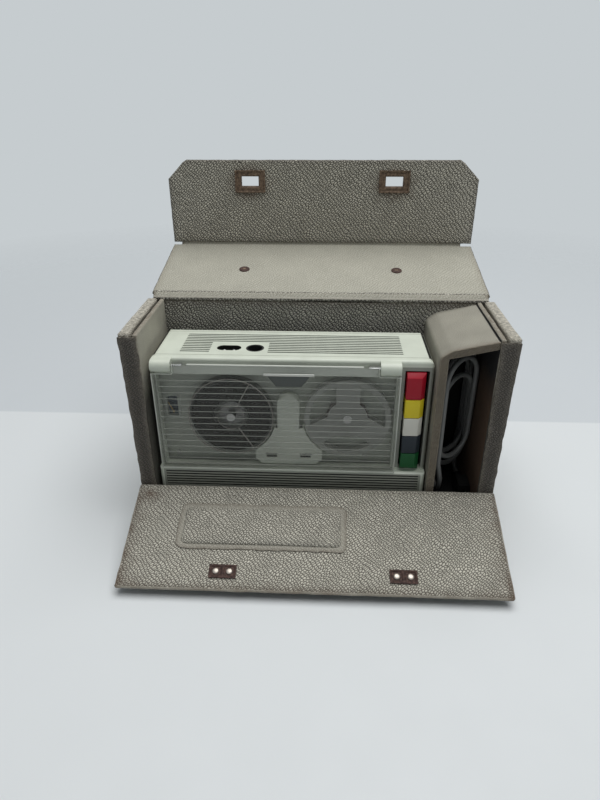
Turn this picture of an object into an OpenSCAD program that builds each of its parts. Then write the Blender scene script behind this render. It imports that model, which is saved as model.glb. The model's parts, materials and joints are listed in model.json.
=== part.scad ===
// Portable two-reel tape recorder standing in its open leatherette carrying case.
// Millimetres. X runs to the right, Y to the back and Z up.
// The origin is the middle of the case's underside.

/* [Case] */
// Outside width of the case
case_w = 344; // [340:1:400]
// Depth from the front edges of the walls to the rear face
case_d = 108; // [104:1:130]
// Height of the side walls
case_h = 204; // [198:1:240]
// Thickness of the outer wall panels
panel_t = 8; // [6:0.5:12]
// Thickness of the liner boards inside the side walls
liner_t = 7; // [5:0.5:10]
// Thickness of the back panel
back_t = 8; // [6:0.5:12]
// Thickness of the base panel
base_t = 8; // [6:0.5:12]
// Thickness of the liner board on the base
base_liner_t = 5; // [3:0.5:8]

/* [Creases] */
// Bare leatherette between a hinge line and the boards beside it
crease_w = 5; // [4.5:0.5:8]
// Thickness of the leatherette in a crease
crease_t = 1.2; // [0.8:0.1:1.6]
// Radius of the rolled bead on a hinge line
bead_r = 1.2; // [1:0.1:1.8]

/* [Front flap] */
// Height of the fixed board under the front flap
lip_h = 42; // [36:1:50]
// Thickness of the front board and the front flap
flap_t = 4; // [3:0.5:6]
// Length of the front flap from its hinge line
flap_len = 107; // [104:1:125]
// Width of the padded panel on the flap's inner face
pad_w = 156; // [120:1:180]
// Height of the padded panel
pad_h = 47; // [40:1:52]
// Distance from the flap's left edge to the padded panel
pad_left = 46; // [30:1:90]
// Distance from the hinge line to the padded panel
pad_up = 22; // [16:1:24]
// Width of the flat border sewn round the pad
pad_border = 6; // [4:0.5:9]
// Thickness of that border
pad_border_t = 0.8; // [0.5:0.1:1.2]
// Height of the pad's crown over its border
pad_crown = 1.8; // [1:0.1:2.2]

/* [Locks] */
// Distance of each lock from the middle of the case
lock_x = 79; // [60:1:120]
// Width of a lock's plates
lock_w = 23.5; // [20:0.5:30]
// Height of a lock's plates
lock_h = 12; // [10:0.5:14]
// Thickness of the plate on the inner face
lock_plate_t = 1; // [0.6:0.1:1.4]
// Thickness of the base on the outer face
lock_base_t = 2; // [1.5:0.1:3]
// Distance between the two rivets of a lock
lock_rivet_pitch = 12; // [10:0.5:14]
// Radius of a lock rivet
lock_rivet_r = 1.5; // [1:0.1:2]
// Radius of a lock rivet's head
lock_head_r = 2.8; // [2.4:0.1:3.4]
// Height of a lock rivet's head
lock_head_t = 0.8; // [0.5:0.1:1.2]
// Radius of the post that carries a turn knob
knob_post_r = 2.4; // [2:0.1:2.8]
// Length of a turn knob's bar
knob_len = 16; // [14:0.5:17]
// Width of a turn knob's bar
knob_w = 8; // [6:0.5:9]
// Thickness of a turn knob's bar
knob_t = 4; // [3:0.5:5]
// Radius of the domed end of a turn knob
knob_dome_r = 17.5; // [15:0.5:22]

/* [Top cover and tip flap] */
// Thickness of the top cover
cover_t = 5; // [4:0.5:7]
// Rise of the open cover towards the back, in degrees
cover_tilt = 12; // [0:1:25]
// Thickness of the tip flap
tip_t = 4; // [3:0.5:6]
// Length of the tip flap from its hinge line
tip_len = 92; // [85:1:105]
// Chamfer on the two free corners of the tip flap
tip_chamfer = 20; // [10:1:28]
// How much narrower than the case the cover and the tip flap are
cover_inset = 4; // [2:1:10]
// Bend of the tip flap against the open cover, in degrees
tip_bend = 78; // [60:1:90]
// Distance from the tip flap's edge to the middle of an eyelet
eyelet_edge = 22; // [18:1:28]
// Width of an eyelet frame
eyelet_w = 33; // [28:0.5:38]
// Height of an eyelet frame
eyelet_h = 23; // [19:0.5:26]
// Thickness of an eyelet frame on each face
eyelet_t = 0.8; // [0.5:0.1:1.2]
// Width of the slot in an eyelet
slot_w = 19; // [18:0.5:22]
// Height of the slot in an eyelet
slot_h = 10.5; // [10:0.5:13]

/* [Handle] */
// Distance between the two rivets of the strap handle
handle_span = 162; // [130:1:200]
// Distance from the cover's hinge line to the handle
handle_along = 49; // [40:1:70]
// Width of the strap
handle_w = 22; // [16:1:28]
// Thickness of the strap
handle_t = 4; // [3:0.5:6]
// Clear height for fingers under the strap
handle_gap = 16; // [12:1:22]
// Length of the slope at each end of the strap
handle_ramp = 22; // [14:1:30]
// Length of the flat end of the strap on each side of its rivet
handle_end = 9; // [8:0.5:12]
// Radius of a handle rivet
handle_rivet_r = 2; // [1.5:0.1:2.5]
// Radius of a handle rivet's washers
handle_head_r = 5.2; // [4:0.1:6.5]
// Thickness of a handle rivet's washers
handle_head_t = 0.9; // [0.6:0.1:1.4]

/* [Accessory compartment] */
// Thickness of the compartment's boards
divider_t = 7.5; // [5:0.5:10]
// Gap between the recorder and the compartment
divider_gap = 1.5; // [1:0.5:5]
// Distance from the walls' front edges to the compartment's front edge
divider_setback = 2; // [1:0.5:8]
// Height of the compartment's roof below the wall tops at the right
roof_drop = 3; // [1:0.5:8]
// Fall of the roof towards the left
roof_fall = 9; // [5:0.5:14]
// Width of the bevel along the roof's left edge
bevel_w = 10; // [8.5:0.5:14]
// Height of that bevel
bevel_h = 7; // [5:0.5:12]

/* [Recorder housing] */
// Width of the recorder
rec_w = 260; // [258:1:290]
// Height of the recorder as it stands in the case
rec_h = 163; // [163:1:185]
// Depth of the housing behind its rim
rec_d = 76; // [76:1:84]
// Distance from the walls' front edges to the rim
rec_setback = 14; // [13:0.5:20]
// Gap between the recorder and the left liner
rec_side_gap = 3; // [3:0.5:6]
// Thickness of the cabinet's walls
shell_t = 3; // [2.5:0.1:3.6]
// Depth of the front bezel
bezel_d = 8; // [6:0.5:9]
// Radius of the housing's corners
corner_r = 7; // [4:0.5:10]
// Radius of the edges round the housing's front
front_r = 3; // [2:0.1:3.5]
// Radius of the edges round the housing's back
rear_r = 8; // [6:0.5:8]
// Left margin of the reel window in the bezel
window_margin = 6; // [5:0.5:8]
// Right margin of the reel window inside the lid's right edge
window_right_margin = 3; // [2.5:0.1:4]
// Distance from the housing's top to the reel window
window_top = 16; // [15:0.5:18]
// Height of the reel window
window_h = 99; // [97:0.5:101]
// Gap between the loudspeaker grille and the reel window
grille_gap = 8; // [6:0.5:12]
// How far the grille stands forward of the key panel
grille_proud = 7; // [5:0.5:7.5]
// Pitch of the grille's slots
grille_pitch = 3; // [2.8:0.1:5]
// Height of a grille slot
grille_slot = 1.6; // [1.2:0.1:1.9]
// Radius of a rubber foot
foot_r = 8; // [6:0.5:11]

/* [Vents and sockets] */
// Left end of the vent slots
vent_left = 25; // [15:1:40]
// Right end of the vent slots
vent_right = 234; // [200:1:240]
// Distance from the rim to the first vent slot
vent_front = 15; // [12:1:20]
// Pitch of the vent slots
vent_pitch = 4.2; // [3.6:0.1:4.6]
// Width of a vent slot
vent_slot = 2; // [1.2:0.1:2.4]
// Width of the bars between the vent slots' ends
vent_bar = 2; // [1.5:0.1:3]
// Depth of the bars below the top's surface
vent_sink = 1.2; // [0.6:0.1:1.5]
// Middle of the mains socket from the left side
mains_u = 71; // [60:0.5:71]
// Width of the mains socket's mouth
mains_w = 23; // [18:0.5:24]
// Height of the mains socket's mouth
mains_h = 12; // [10:0.5:14]
// Depth of the mains socket
mains_depth = 14; // [10:0.5:18]
// Radius of a mains pin
mains_pin_r = 1.2; // [1:0.1:1.4]
// Distance between the mains pins
mains_pin_pitch = 9; // [8:0.5:10]
// Middle of the round socket from the left side
round_u = 95.5; // [95.5:0.5:100]
// Radius of the round socket's collar
round_r = 8.5; // [8:0.1:9]
// Radius of the round socket's bore
round_bore_r = 6.8; // [6:0.1:7.2]
// Depth of the round socket's bore
round_depth = 9; // [7:0.5:12]
// Distance from the rim to the middle of both sockets
socket_v = 25; // [25:0.5:28]

/* [Lid] */
// Thickness of the lid's sheet and rims
lid_t = 2; // [1.5:0.1:2.4]
// Distance from the rim to the lid's front face
lid_proud = 7.6; // [7:0.1:9]
// Left margin of the lid
lid_left = 3; // [2:0.5:4]
// Rise of the lid's upper edge over its hinge line
lid_over = 3; // [2.6:0.1:3.2]
// Distance of the lid's hinge line in front of the rim
lid_axis_v = 4; // [3.9:0.1:4.4]
// Radius of the hinge barrels on the housing
barrel_r = 5.75; // [5:0.05:6]
// Length of a hinge barrel
barrel_len = 18.5; // [15:0.5:24]
// Length of the lid's clear knuckles
knuckle_len = 9; // [6:0.5:14]
// Radius of the hinge pins
lid_pin_r = 1.2; // [1:0.05:1.5]
// Number of ribs across the lid
lid_ribs = 15; // [8:1:18]
// Pitch of the ribs
lid_rib_pitch = 6.4; // [5:0.1:6.8]

/* [Reels] */
// Radius of a reel
reel_r = 41; // [38:0.5:42]
// Distance between the reels' middles
reel_pitch = 111; // [108:0.5:115]
// Middle of the left reel from the left side
reel_u = 72.5; // [68:0.5:73]
// Height of the reels' middles over the reel window's lower edge
reel_up = 53; // [50:0.5:54]
// Radius of a reel's hub
hub_r = 17; // [14:0.5:18]
// Thickness of a reel's flanges
flange_t = 1.2; // [1:0.1:1.4]
// Width of a reel between its outer faces
reel_width = 9.2; // [8.9:0.1:9.4]
// Width of the tape
tape_width = 6.3; // [6:0.1:6.4]
// Radius of the tape on the left reel
pack_left_r = 38; // [22:0.5:39]
// Radius of the tape on the right reel
pack_right_r = 20; // [18.5:0.5:39]
// Radius of a spindle where it carries its reel
spindle_r = 4; // [3.5:0.1:5]
// Radius of a spindle in its bearing
spindle_shaft_r = 3; // [2:0.1:3.4]

/* [Keys] */
// Width of a key
key_w = 17.5; // [15:0.5:18]
// Width of the slot that the keys stand in
key_slot_w = 22; // [21.5:0.5:24]
// Distance from the housing's right side to the key slot
key_slot_margin = 4; // [4:0.5:6]
// Height of the row of keys over the reel window's lower edge
key_up = 1.3; // [0.5:0.1:2]
// Height of a key
key_h = 19.3; // [18:0.1:19.5]
// Height of the red key at the top
key_top_h = 26; // [20:0.5:27]
// Gap between keys
key_gap = 0.5; // [0.3:0.1:1.2]
// How far a key stands in front of the rim
key_proud = 5; // [3:0.5:6]
// Bevel on a key's edges
key_bevel = 4; // [2:0.5:5]
// Radius of the shaft that the keys turn on
key_shaft_r = 2; // [1.5:0.1:2.5]

/* [Deck] */
// Distance from the rim to the deck plate's front face
deck_v = 12; // [11.8:0.1:13]
// Thickness of the deck plate
deck_t = 2; // [1.5:0.1:2.5]
// Width of the head cover's stem
stem_w = 20.6; // [16:0.2:22]
// Height of the head cover
head_h = 75.5; // [70:0.5:80]
// Width of the head cover's foot
head_foot_w = 65; // [62:0.5:68]
// Cut across the lower corners of the foot
head_chamfer = 6; // [4:0.5:6]
// Height of the head cover's lower edge over the reel window's
head_up = 1.5; // [0.5:0.1:2]
// Wall of the head cover
head_wall = 1.5; // [1:0.1:1.8]
// Radius of the capstan
capstan_r = 1.5; // [1.2:0.1:1.7]
// Radius of the pinch roller
pinch_r = 3.4; // [3:0.1:3.5]
// Radius of the flywheel
flywheel_r = 28; // [22:0.5:30]
// Width of the flywheel
flywheel_w = 8; // [7:0.5:10]
// Radius of the motor
motor_r = 20; // [16:0.5:21]
// Length of the motor
motor_len = 36; // [28:1:40]
// Radius of the motor's pulley
pulley_r = 5; // [4:0.1:7]
// Thickness of the drive belt
belt_t = 1; // [0.6:0.1:1.6]
// Width of the drive belt
belt_w = 3; // [2:0.5:4]
// Width of the meter's window
meter_w = 10.4; // [8:0.2:11]
// Height of the meter's window
meter_h = 21; // [16:0.5:24]
// Radius of the volume wheel
volume_r = 15; // [13:0.5:17]
// Thickness of the volume wheel
volume_t = 6; // [4:0.5:7]
// How far the volume wheel stands out of the left side
volume_proud = 2.4; // [1:0.1:2.6]

/* [Stored cable] */
// Diameter of the mains cable
cable_d = 5; // [4:0.1:5]
// Loops of cable put away in the compartment
cable_loops = 5; // [2:1:5]
// Bend radius of the loops
loop_r = 21.5; // [20:0.1:21.8]
// Turn of the loops' plane about the vertical, in degrees
loop_turn = 40; // [40:1:44]
// Step from one loop to the next towards the back
loop_step = 9; // [8.6:0.1:9.5]
// Length of the plug's body
plug_len = 29; // [24:1:32]
// Thickness of the plug's body
plug_t = 14; // [12:0.5:14]
// Length of the connector's body
connector_len = 28; // [22:1:30]
// Thickness of the connector's body
connector_t = 11; // [9:0.5:11.5]

/* [Hidden] */
$fn = 48;

// Clearances: between pieces that move against each other, round a turning shaft, round a fixed pin
rest_gap = 0.3;
run_fit = 0.05;
pin_fit = 0.05;
// A cut runs this far past the faces that it opens
past = 1;

// Case: inner faces and hinge lines
front_y = -case_d / 2;
back_in = case_d / 2 - back_t;
inner_left = -case_w / 2 + panel_t + liner_t;
inner_right = -inner_left;
floor_z = base_t + base_liner_t;
flap_seat = 0.4;
flap_axis_y = front_y - flap_seat - flap_t / 2;
flap_axis_z = lip_h + crease_w;
cover_seat = 0.5;
cover_axis_y = case_d / 2 - back_t / 2;
cover_axis_z = case_h + cover_seat + cover_t / 2;
bead_gap = 0.4;

// Locks, eyelets and the cover's length follow from the closed case
tip_gap = 0.5;
neck_clear = 0.6;
floor_gap = 0.1;
knob_seat = 0.2;
lock_rise = lock_base_t + tip_gap + 2 * eyelet_t + tip_t + neck_clear;
lock_reach = flap_t / 2 + lock_rise + knob_t;
eyelet_dist = tip_len - eyelet_edge;
lock_dist = cover_axis_z - eyelet_dist - flap_axis_z;
cover_len = cover_axis_y - flap_axis_y + flap_t / 2 + lock_base_t + tip_gap + eyelet_t + tip_t / 2;
knob_arm = [lock_dist, lock_reach - knob_dome_r];
flap_slope = asin((flap_axis_z - knob_dome_r - floor_gap) / norm(knob_arm)) - atan2(knob_arm[1], knob_arm[0]);

// Recorder: place of its left lower corner on the rim's plane
rec_x = inner_left + rec_side_gap;
rec_y = front_y + rec_setback;
rec_z = floor_z + rest_gap;
foot_len = back_in - rest_gap - rec_y - rec_d;
window_high = rec_h - window_top;
window_low = window_high - window_h;
grille_low = 4;
grille_h = window_low - grille_gap;
ledge_gap = 0.6;
ledge_w = window_low - ledge_gap;
key_slot_right = rec_w - key_slot_margin;
key_slot_left = key_slot_right - key_slot_w;
key_reach = 21;
key_pivot_u = key_slot_left - key_reach;
lid_gap = 4;
lid_right = key_slot_left - lid_gap;
deck_gap = 3;
deck_right = key_slot_left - deck_gap;
deck_lap = 4;
deck_low = window_low - deck_lap;
deck_back = deck_v + deck_t;
shell_back = rec_d - shell_t;
barrel_drop = 0.3;
barrel_clear = 0.8;
barrel_inset = 0.4;
lid_low = window_low;
lid_axis_w = rec_h - barrel_r - barrel_drop;
lid_high = lid_axis_w + lid_over;
lid_notch = lid_axis_w - barrel_r - barrel_clear;
lid_notch_gap = 0.6;
lid_notch_w = barrel_len + 2 * barrel_inset + lid_notch_gap;
lid_pin_in = 5;
lid_rib_in = 5;
lid_rib_up = 6;
lid_rib_h = 0.7;
lid_rib_t = 0.4;

// Deck: places of the posts, heads and turning pieces
post_r = 4;
post_in = 16;
post_gap = 10;
post_up = 6;
post_drop = 11;
post_places = [
    for (u = [post_in, key_pivot_u - post_gap], w = [window_low + post_up, rec_h - post_drop]) [u, w]
];
screw_r = 1.2;
screw_head_r = 2.8;
screw_head_t = 1.4;
screw_len = 12;
foot_in = 22;
foot_places = [for (u = [foot_in, rec_w - foot_in], w = [foot_in, rec_h - foot_in]) [u, w]];
foot_screw_r = 1.5;
foot_screw_in = 5;
foot_head_t = 2;
foot_bore_r = 3.6;
foot_bore_gap = 0.6;
foot_bore = 4;
reel_gap = 1.2;
reel_z = window_low + reel_up;
reel_front = deck_v - reel_gap - reel_width;
reel_back = reel_front + reel_width;
reel_right_u = reel_u + reel_pitch;
reel_clear = 1.6;
table_r = 12;
table_t = 0.9;
tray_r = 18;
tray_t = 4;
spindle_proud = 0.6;
spindle_tail = 6;
spoke_rim = 5;
spoke_root = 2;
spoke_left_w = 7;
spoke_right_w = 22;
head_off = 0.7;
head_mid = (reel_u + reel_right_u) / 2 - head_off;
head_sink = 0.2;
head_front = reel_front + head_sink;
head_low = window_low + head_up;
stem_top = head_low + head_h;
foot_h = 40;
head_high = head_low + foot_h;
head_slot_w = 12;
head_slot_h = 2.4;
head_slot_u = 17;
head_slot_up = 11;
tape_slit_up = 5;
tape_slit_h = 5;
record_head_size = [10, 8, 7];
record_head_u = 3;
erase_head_size = [8, 8, 6];
erase_head_u = 17;
heads_up = 6;
guides_up = 8;
pole_r = 2.4;
pole_drop = 1.2;
pole_gap = 0.4;
capstan_off = 13.5;
capstan_up = 11.4;
capstan_u = head_mid + capstan_off;
capstan_w = head_low + capstan_up;
capstan_tail = 3;
inside_gap = 0.6;
pinch_gap = 0.8;
pinch_reach = 11;
pinch_w = capstan_w - capstan_r - pinch_r - pinch_gap;
pinch_pivot_u = capstan_u + pinch_reach;
pinch_pin_r = 1;
pinch_pivot_r = 1.2;
arm_t = 1.4;
arm_h = 4;
arm_boss_r = 3;
arm_end_r = 2.4;
arm_back = deck_v - rest_gap;
guide_r = 1.3;
bush_r = 6;
bush_len = 6;
flywheel_v = deck_back + bush_len + rest_gap;
motor_off = 2.5;
motor_drop = 1;
motor_u = reel_u + motor_off;
motor_w = capstan_w - motor_drop;
motor_v = flywheel_v + flywheel_w;
motor_shaft_r = 1.5;
motor_shaft_in = 7;
motor_stand_r = 2.2;
motor_stand_in = 3;
pulley_gap = 0.5;
belt_v = flywheel_v + (flywheel_w - belt_w) / 2;
meter_u = 15;
meter_up = 59.3;
meter_mid = window_low + meter_up;
meter_rim = 1.6;
meter_lip = 1;
meter_depth = 10;
dial_depth = 3;
needle_r = 0.8;
needle_up = 3;
needle_in = 1;
needle_len = 11;
needle_w = 0.6;
needle_shaft = 6;
needle_swing = 50;
volume_u = volume_r - volume_proud;
volume_v = 45;
volume_up = 37;
volume_w = window_low + volume_up;
volume_shaft_r = 2;
volume_lug = 3;
volume_lug_gap = 2;
volume_lug_w = 10;
volume_slot_gap = 0.5;
speaker_u = 92;
speaker_up = 3;
speaker_w = grille_h / 2 + speaker_up;
speaker_len = 90;
speaker_lap = 2;
speaker_t = 2;
basket_in = 2;
basket_r = (grille_h - speaker_lap) / 2 - basket_in;
basket_len = 12;
cone_in = 2.5;
cone_r = basket_r - cone_in;
cone_depth = 9;
magnet_in = 4;
magnet_r = basket_r - magnet_in;
magnet_len = 10;
core_in = 28;
core_up = 8;
core_gap = 4;
core_size = [42, 34, window_low - core_up - core_gap];
coil_in = [8, 6];
coil_proud = 6;
board_size = [82, 1.6, 58];
board_u = 104;
board_drop = 13;
board_stand = 6;
board_stand_r = 3;
board_edge = [6, 5];
can_r = 4;
can_len = 14;
can_at = [10, 16];
can_pitch = 12;
resistor_size = [9, 5, 4];
resistor_at = [8, 30];
resistor_pitch = 14;
module_size = [20, 12, 12];
module_at = [14, 40];
socket_wall = 2;
round_flange = 1.5;
round_floor = 4;
contact_r = 0.8;
contact_ring = 3.4;
contact_in = 3;

// Keys: pivot line behind the deck plate, arms and the cap's back face
key_side_gap = 1.5;
key_end_gap = 1;
key_low = window_low + key_up;
key_left = key_slot_left + key_side_gap;
key_arm_gap = 2.8;
key_arm_v = deck_back + key_arm_gap;
key_arm_t = 3.4;
key_arm_h = 8;
key_hub_r = 4;
key_stalk_w = 6;
key_stalk_in = 2;
key_edge = 0.4;
key_cap_sink = 3;
key_cap_back = bezel_d - key_cap_sink;
key_pivot_v = key_arm_v + key_arm_t / 2;
key_count = 5;
key_lug = 2.6;
key_lug_gap = 0.6;
key_lug_r = 5;
key_shaft_end = 1.4;
key_high = key_low + (key_count - 1) * key_h + key_top_h;

// Compartment: inside faces
comp_x = rec_x + rec_w + divider_gap;
comp_in = comp_x + divider_t;
comp_front = front_y + divider_setback;
roof_right = case_h - roof_drop;
roof_left = roof_right - roof_fall;

// Cable route: plug and connector stand on edge on the compartment's floor
plug_h = 26;
connector_h = 22;
relief_len = 8;
plug_pin_len = 18;
plug_pin_r = 2;
plug_pin_pitch = 19;
plug_back_gap = 0.8;
plug_neck = 6;
plug_shoulder = 14;
plug_side_gap = 1;
neck_lip = 1;
connector_taper = 8;
contact_gap = 0.3;
relief_r = 4;
bend_r = 22;
cable_mid_x = (comp_in + inner_right) / 2;
loop_front = -23;
plug_x = comp_in + plug_t / 2 + plug_side_gap;
plug_z = floor_z + plug_h / 2 + rest_gap;
connector_x = inner_right - connector_t / 2 - plug_side_gap;
connector_z = floor_z + connector_h / 2 + rest_gap;
loop_tops = [150, 128, 158, 138, 148];
loop_lows = [66, 84, 70, 80, 72, 60];
loop_rings = 24;
cable_sides = 6;

// Box between two opposite corners
module block(a, b) {
    translate(a) cube(b - a);
}

// Outline in X and Z, drawn out along Y from y0 to y1
module slab_y(y0, y1) {
    translate([0, y1, 0]) rotate([90, 0, 0]) linear_extrude(y1 - y0) children();
}

// Round bars along the three axes
module rod_x(y, z, r, x0, x1) {
    translate([x0, y, z]) rotate([0, 90, 0]) cylinder(r = r, h = x1 - x0);
}

module rod_y(x, z, r, y0, y1) {
    translate([x, y1, z]) rotate([90, 0, 0]) cylinder(r = r, h = y1 - y0);
}

module rod_z(x, y, r, z0, z1) {
    translate([x, y, z0]) cylinder(r = r, h = z1 - z0);
}

// Rectangle with round corners between two opposite corners
module round_rect(a, b, r) {
    translate([a[0] + r, a[1]]) square([b[0] - a[0] - 2 * r, b[1] - a[1]]);
    translate([a[0], a[1] + r]) square([b[0] - a[0], b[1] - a[1] - 2 * r]);
    for (x = [a[0] + r, b[0] - r], y = [a[1] + r, b[1] - r]) translate([x, y]) circle(r);
}

// Slot outline with round ends, centred
module stadium(w, h) {
    square([w - h, h], center = true);
    for (s = [-1, 1]) translate([s * (w - h) / 2, 0]) circle(d = h);
}

// Moves a piece from its own frame to its place
module flap_place() {
    translate([0, flap_axis_y, flap_axis_z]) rotate([90 + flap_slope, 0, 0]) children();
}

module cover_place() {
    translate([0, cover_axis_y, cover_axis_z]) rotate([cover_tilt - 180, 0, 0]) children();
}

module tip_place() {
    cover_place() translate([0, -cover_len, 0]) rotate([tip_bend, 0, 0]) children();
}

module rec_place() {
    translate([rec_x, rec_y, rec_z]) children();
}

// Case panels
module back_panel() {
    half = case_w / 2;
    top = cover_axis_z - crease_w;
    color("dimgray") {
        block([-half, back_in, 0], [half, case_d / 2, top]);
        block([-half, cover_axis_y - crease_t / 2, top],
            [half, cover_axis_y + crease_t / 2, cover_axis_z - bead_r - bead_gap]);
    }
}

module base_panel() {
    color("dimgray") block([-case_w / 2, front_y, 0], [case_w / 2, back_in, base_t]);
}

module base_liner() {
    color("gray") block([inner_left, front_y, base_t], [inner_right, back_in, floor_z]);
}

module left_wall() {
    color("gray") block([-case_w / 2, front_y, base_t], [-case_w / 2 + panel_t, back_in, case_h]);
}

module left_wall_liner() {
    color("darkgray") block([inner_left - liner_t, front_y, base_t], [inner_left, back_in, case_h]);
}

module right_wall() {
    mirror([1, 0, 0]) left_wall();
}

module right_wall_liner() {
    mirror([1, 0, 0]) left_wall_liner();
}

module front_lip() {
    half = case_w / 2;
    color("gray") {
        block([-half, front_y - flap_t, 0], [half, front_y, lip_h]);
        block([-half, flap_axis_y - crease_t / 2, lip_h],
            [half, flap_axis_y + crease_t / 2, flap_axis_z - bead_r - bead_gap]);
    }
}

// Divider and roof in one folded board, seen from the front
module compartment_box() {
    color("darkgray") slab_y(comp_front, back_in) polygon([
        [comp_x, floor_z], [comp_x, roof_left - bevel_h], [comp_x + bevel_w, roof_left],
        [inner_right, roof_right], [inner_right, roof_right - divider_t],
        [comp_x + bevel_w + past, roof_left - divider_t], [comp_in, roof_left - bevel_h - past],
        [comp_in, floor_z]
    ]);
}

// Front flap, drawn shut: up from the hinge line, outer face towards the front
module front_flap() {
    half = case_w / 2;
    color("gray") flap_place() difference() {
        union() {
            block([-half, -flap_t / 2, crease_w], [half, flap_t / 2, flap_len]);
            block([-half, -crease_t / 2, 0], [half, crease_t / 2, crease_w]);
            rod_x(0, 0, bead_r, -half, half);
        }
        lock_rivet_places() rod_y(0, 0, lock_rivet_r + pin_fit, -flap_t / 2 - past, flap_t / 2 + past);
    }
}

module lock_places() {
    for (s = [-1, 1]) translate([s * lock_x, 0, lock_dist]) children();
}

module lock_rivet_places() {
    lock_places() for (s = [-1, 1]) translate([s * lock_rivet_pitch / 2, 0, 0]) children();
}

// Pad: a crowned grid over a flat underside, its sides drawn in between the corners
pad_cols = 24;
pad_rows = 10;
pad_draw = 0.02;
pad_edge = 0.4;
pad_size = [pad_w - 2 * pad_border, pad_h - 2 * pad_border] / 2;

function pad_point(i, j, top) = let(
    s = 2 * i / pad_cols - 1,
    t = 2 * j / pad_rows - 1,
    rise = (1 - pow(s, 8)) * (1 - pow(t, 4)))
    [pad_size[0] * s * (1 - pad_draw * (1 - t * t)),
     pad_border_t + (top ? pad_edge + (pad_crown - pad_edge) * rise : 0),
     pad_size[1] * t * (1 - pad_draw * (1 - s * s))];

function pad_index(i, j, top) = (top ? 0 : (pad_cols + 1) * (pad_rows + 1)) + i * (pad_rows + 1) + j;

function quad(a, b, c, d) = [[a, b, c], [a, c, d]];

module pad_cushion() {
    points = [for (top = [true, false], i = [0 : pad_cols], j = [0 : pad_rows]) pad_point(i, j, top)];
    faces = concat(
        [for (i = [0 : pad_cols - 1], j = [0 : pad_rows - 1]) each quad(
            pad_index(i, j, true), pad_index(i + 1, j, true),
            pad_index(i + 1, j + 1, true), pad_index(i, j + 1, true))],
        [for (i = [0 : pad_cols - 1], j = [0 : pad_rows - 1]) each quad(
            pad_index(i, j, false), pad_index(i, j + 1, false),
            pad_index(i + 1, j + 1, false), pad_index(i + 1, j, false))],
        [for (i = [0 : pad_cols - 1]) each concat(
            quad(pad_index(i, 0, false), pad_index(i + 1, 0, false),
                pad_index(i + 1, 0, true), pad_index(i, 0, true)),
            quad(pad_index(i + 1, pad_rows, false), pad_index(i, pad_rows, false),
                pad_index(i, pad_rows, true), pad_index(i + 1, pad_rows, true)))],
        [for (j = [0 : pad_rows - 1]) each concat(
            quad(pad_index(0, j + 1, false), pad_index(0, j, false),
                pad_index(0, j, true), pad_index(0, j + 1, true)),
            quad(pad_index(pad_cols, j, false), pad_index(pad_cols, j + 1, false),
                pad_index(pad_cols, j + 1, true), pad_index(pad_cols, j, true)))]);
    polyhedron(points, faces);
}

module flap_pad() {
    corner = [pad_left - case_w / 2, pad_up];
    color("gray") flap_place() translate([0, flap_t / 2, 0]) {
        slab_y(0, pad_border_t) round_rect(corner, corner + [pad_w, pad_h], pad_border);
        translate([corner[0] + pad_w / 2, 0, corner[1] + pad_h / 2]) pad_cushion();
    }
}

// Inner plate, rivets and outer base of both locks
module lock_fittings() {
    inner = flap_t / 2;
    color("saddlebrown") flap_place() difference() {
        union() {
            lock_places() {
                slab_y(inner, inner + lock_plate_t) square([lock_w, lock_h], center = true);
                slab_y(-inner - lock_base_t, -inner) stadium(lock_w, lock_h);
            }
            lock_rivet_places() {
                rod_y(0, 0, lock_rivet_r, -inner - past / 2, inner + past / 2);
                rod_y(0, 0, lock_head_r, inner + lock_plate_t / 2, inner + lock_plate_t + lock_head_t);
            }
        }
        lock_places() rod_y(0, 0, knob_post_r + run_fit, -inner - lock_base_t - past, -inner);
    }
}

module lock_knob(side) {
    inner = flap_t / 2;
    color("peru") flap_place() translate([side * lock_x, 0, lock_dist]) {
        rod_y(0, 0, knob_post_r, -inner - lock_rise - knob_t / 2, -inner - knob_seat);
        intersection() {
            slab_y(-lock_reach, -inner - lock_rise) stadium(knob_len, knob_w);
            translate([0, knob_dome_r - lock_reach, 0]) sphere(knob_dome_r);
        }
    }
}

module lock_knob_left() {
    lock_knob(-1);
}

module lock_knob_right() {
    lock_knob(1);
}

// Top cover, drawn shut: forwards from the hinge line, outer face up
cover_half = (case_w - cover_inset) / 2;

module handle_rivet_places() {
    for (s = [-1, 1]) translate([s * handle_span / 2, -handle_along, 0]) children();
}

module top_cover() {
    color("silver") cover_place() difference() {
        union() {
            block([-cover_half, crease_w - cover_len, -cover_t / 2], [cover_half, -crease_w, cover_t / 2]);
            block([-cover_half, -crease_w, -crease_t / 2], [cover_half, 0, crease_t / 2]);
            rod_x(0, 0, bead_r, -cover_half, cover_half);
            block([-cover_half, bead_r + bead_gap - cover_len, -crease_t / 2],
                [cover_half, crease_w - cover_len, crease_t / 2]);
        }
        handle_rivet_places() rod_z(0, 0, handle_rivet_r + pin_fit, -cover_t, cover_t);
    }
}

module handle_strap() {
    far = handle_span / 2 + handle_end;
    foot = handle_span / 2 - handle_end;
    knee = foot - handle_ramp;
    low = cover_t / 2;
    high = low + handle_gap;
    lean = handle_t / 2;
    color("dimgray") cover_place() difference() {
        slab_y(-handle_along - handle_w / 2, -handle_along + handle_w / 2) polygon([
            [-far, low], [-foot, low], [-knee, high], [knee, high], [foot, low], [far, low],
            [far, low + handle_t], [foot + lean, low + handle_t], [knee + lean, high + handle_t],
            [-knee - lean, high + handle_t], [-foot - lean, low + handle_t], [-far, low + handle_t]
        ]);
        handle_rivet_places() rod_z(0, 0, handle_rivet_r + pin_fit, low - past, low + handle_t + past);
    }
}

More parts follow.
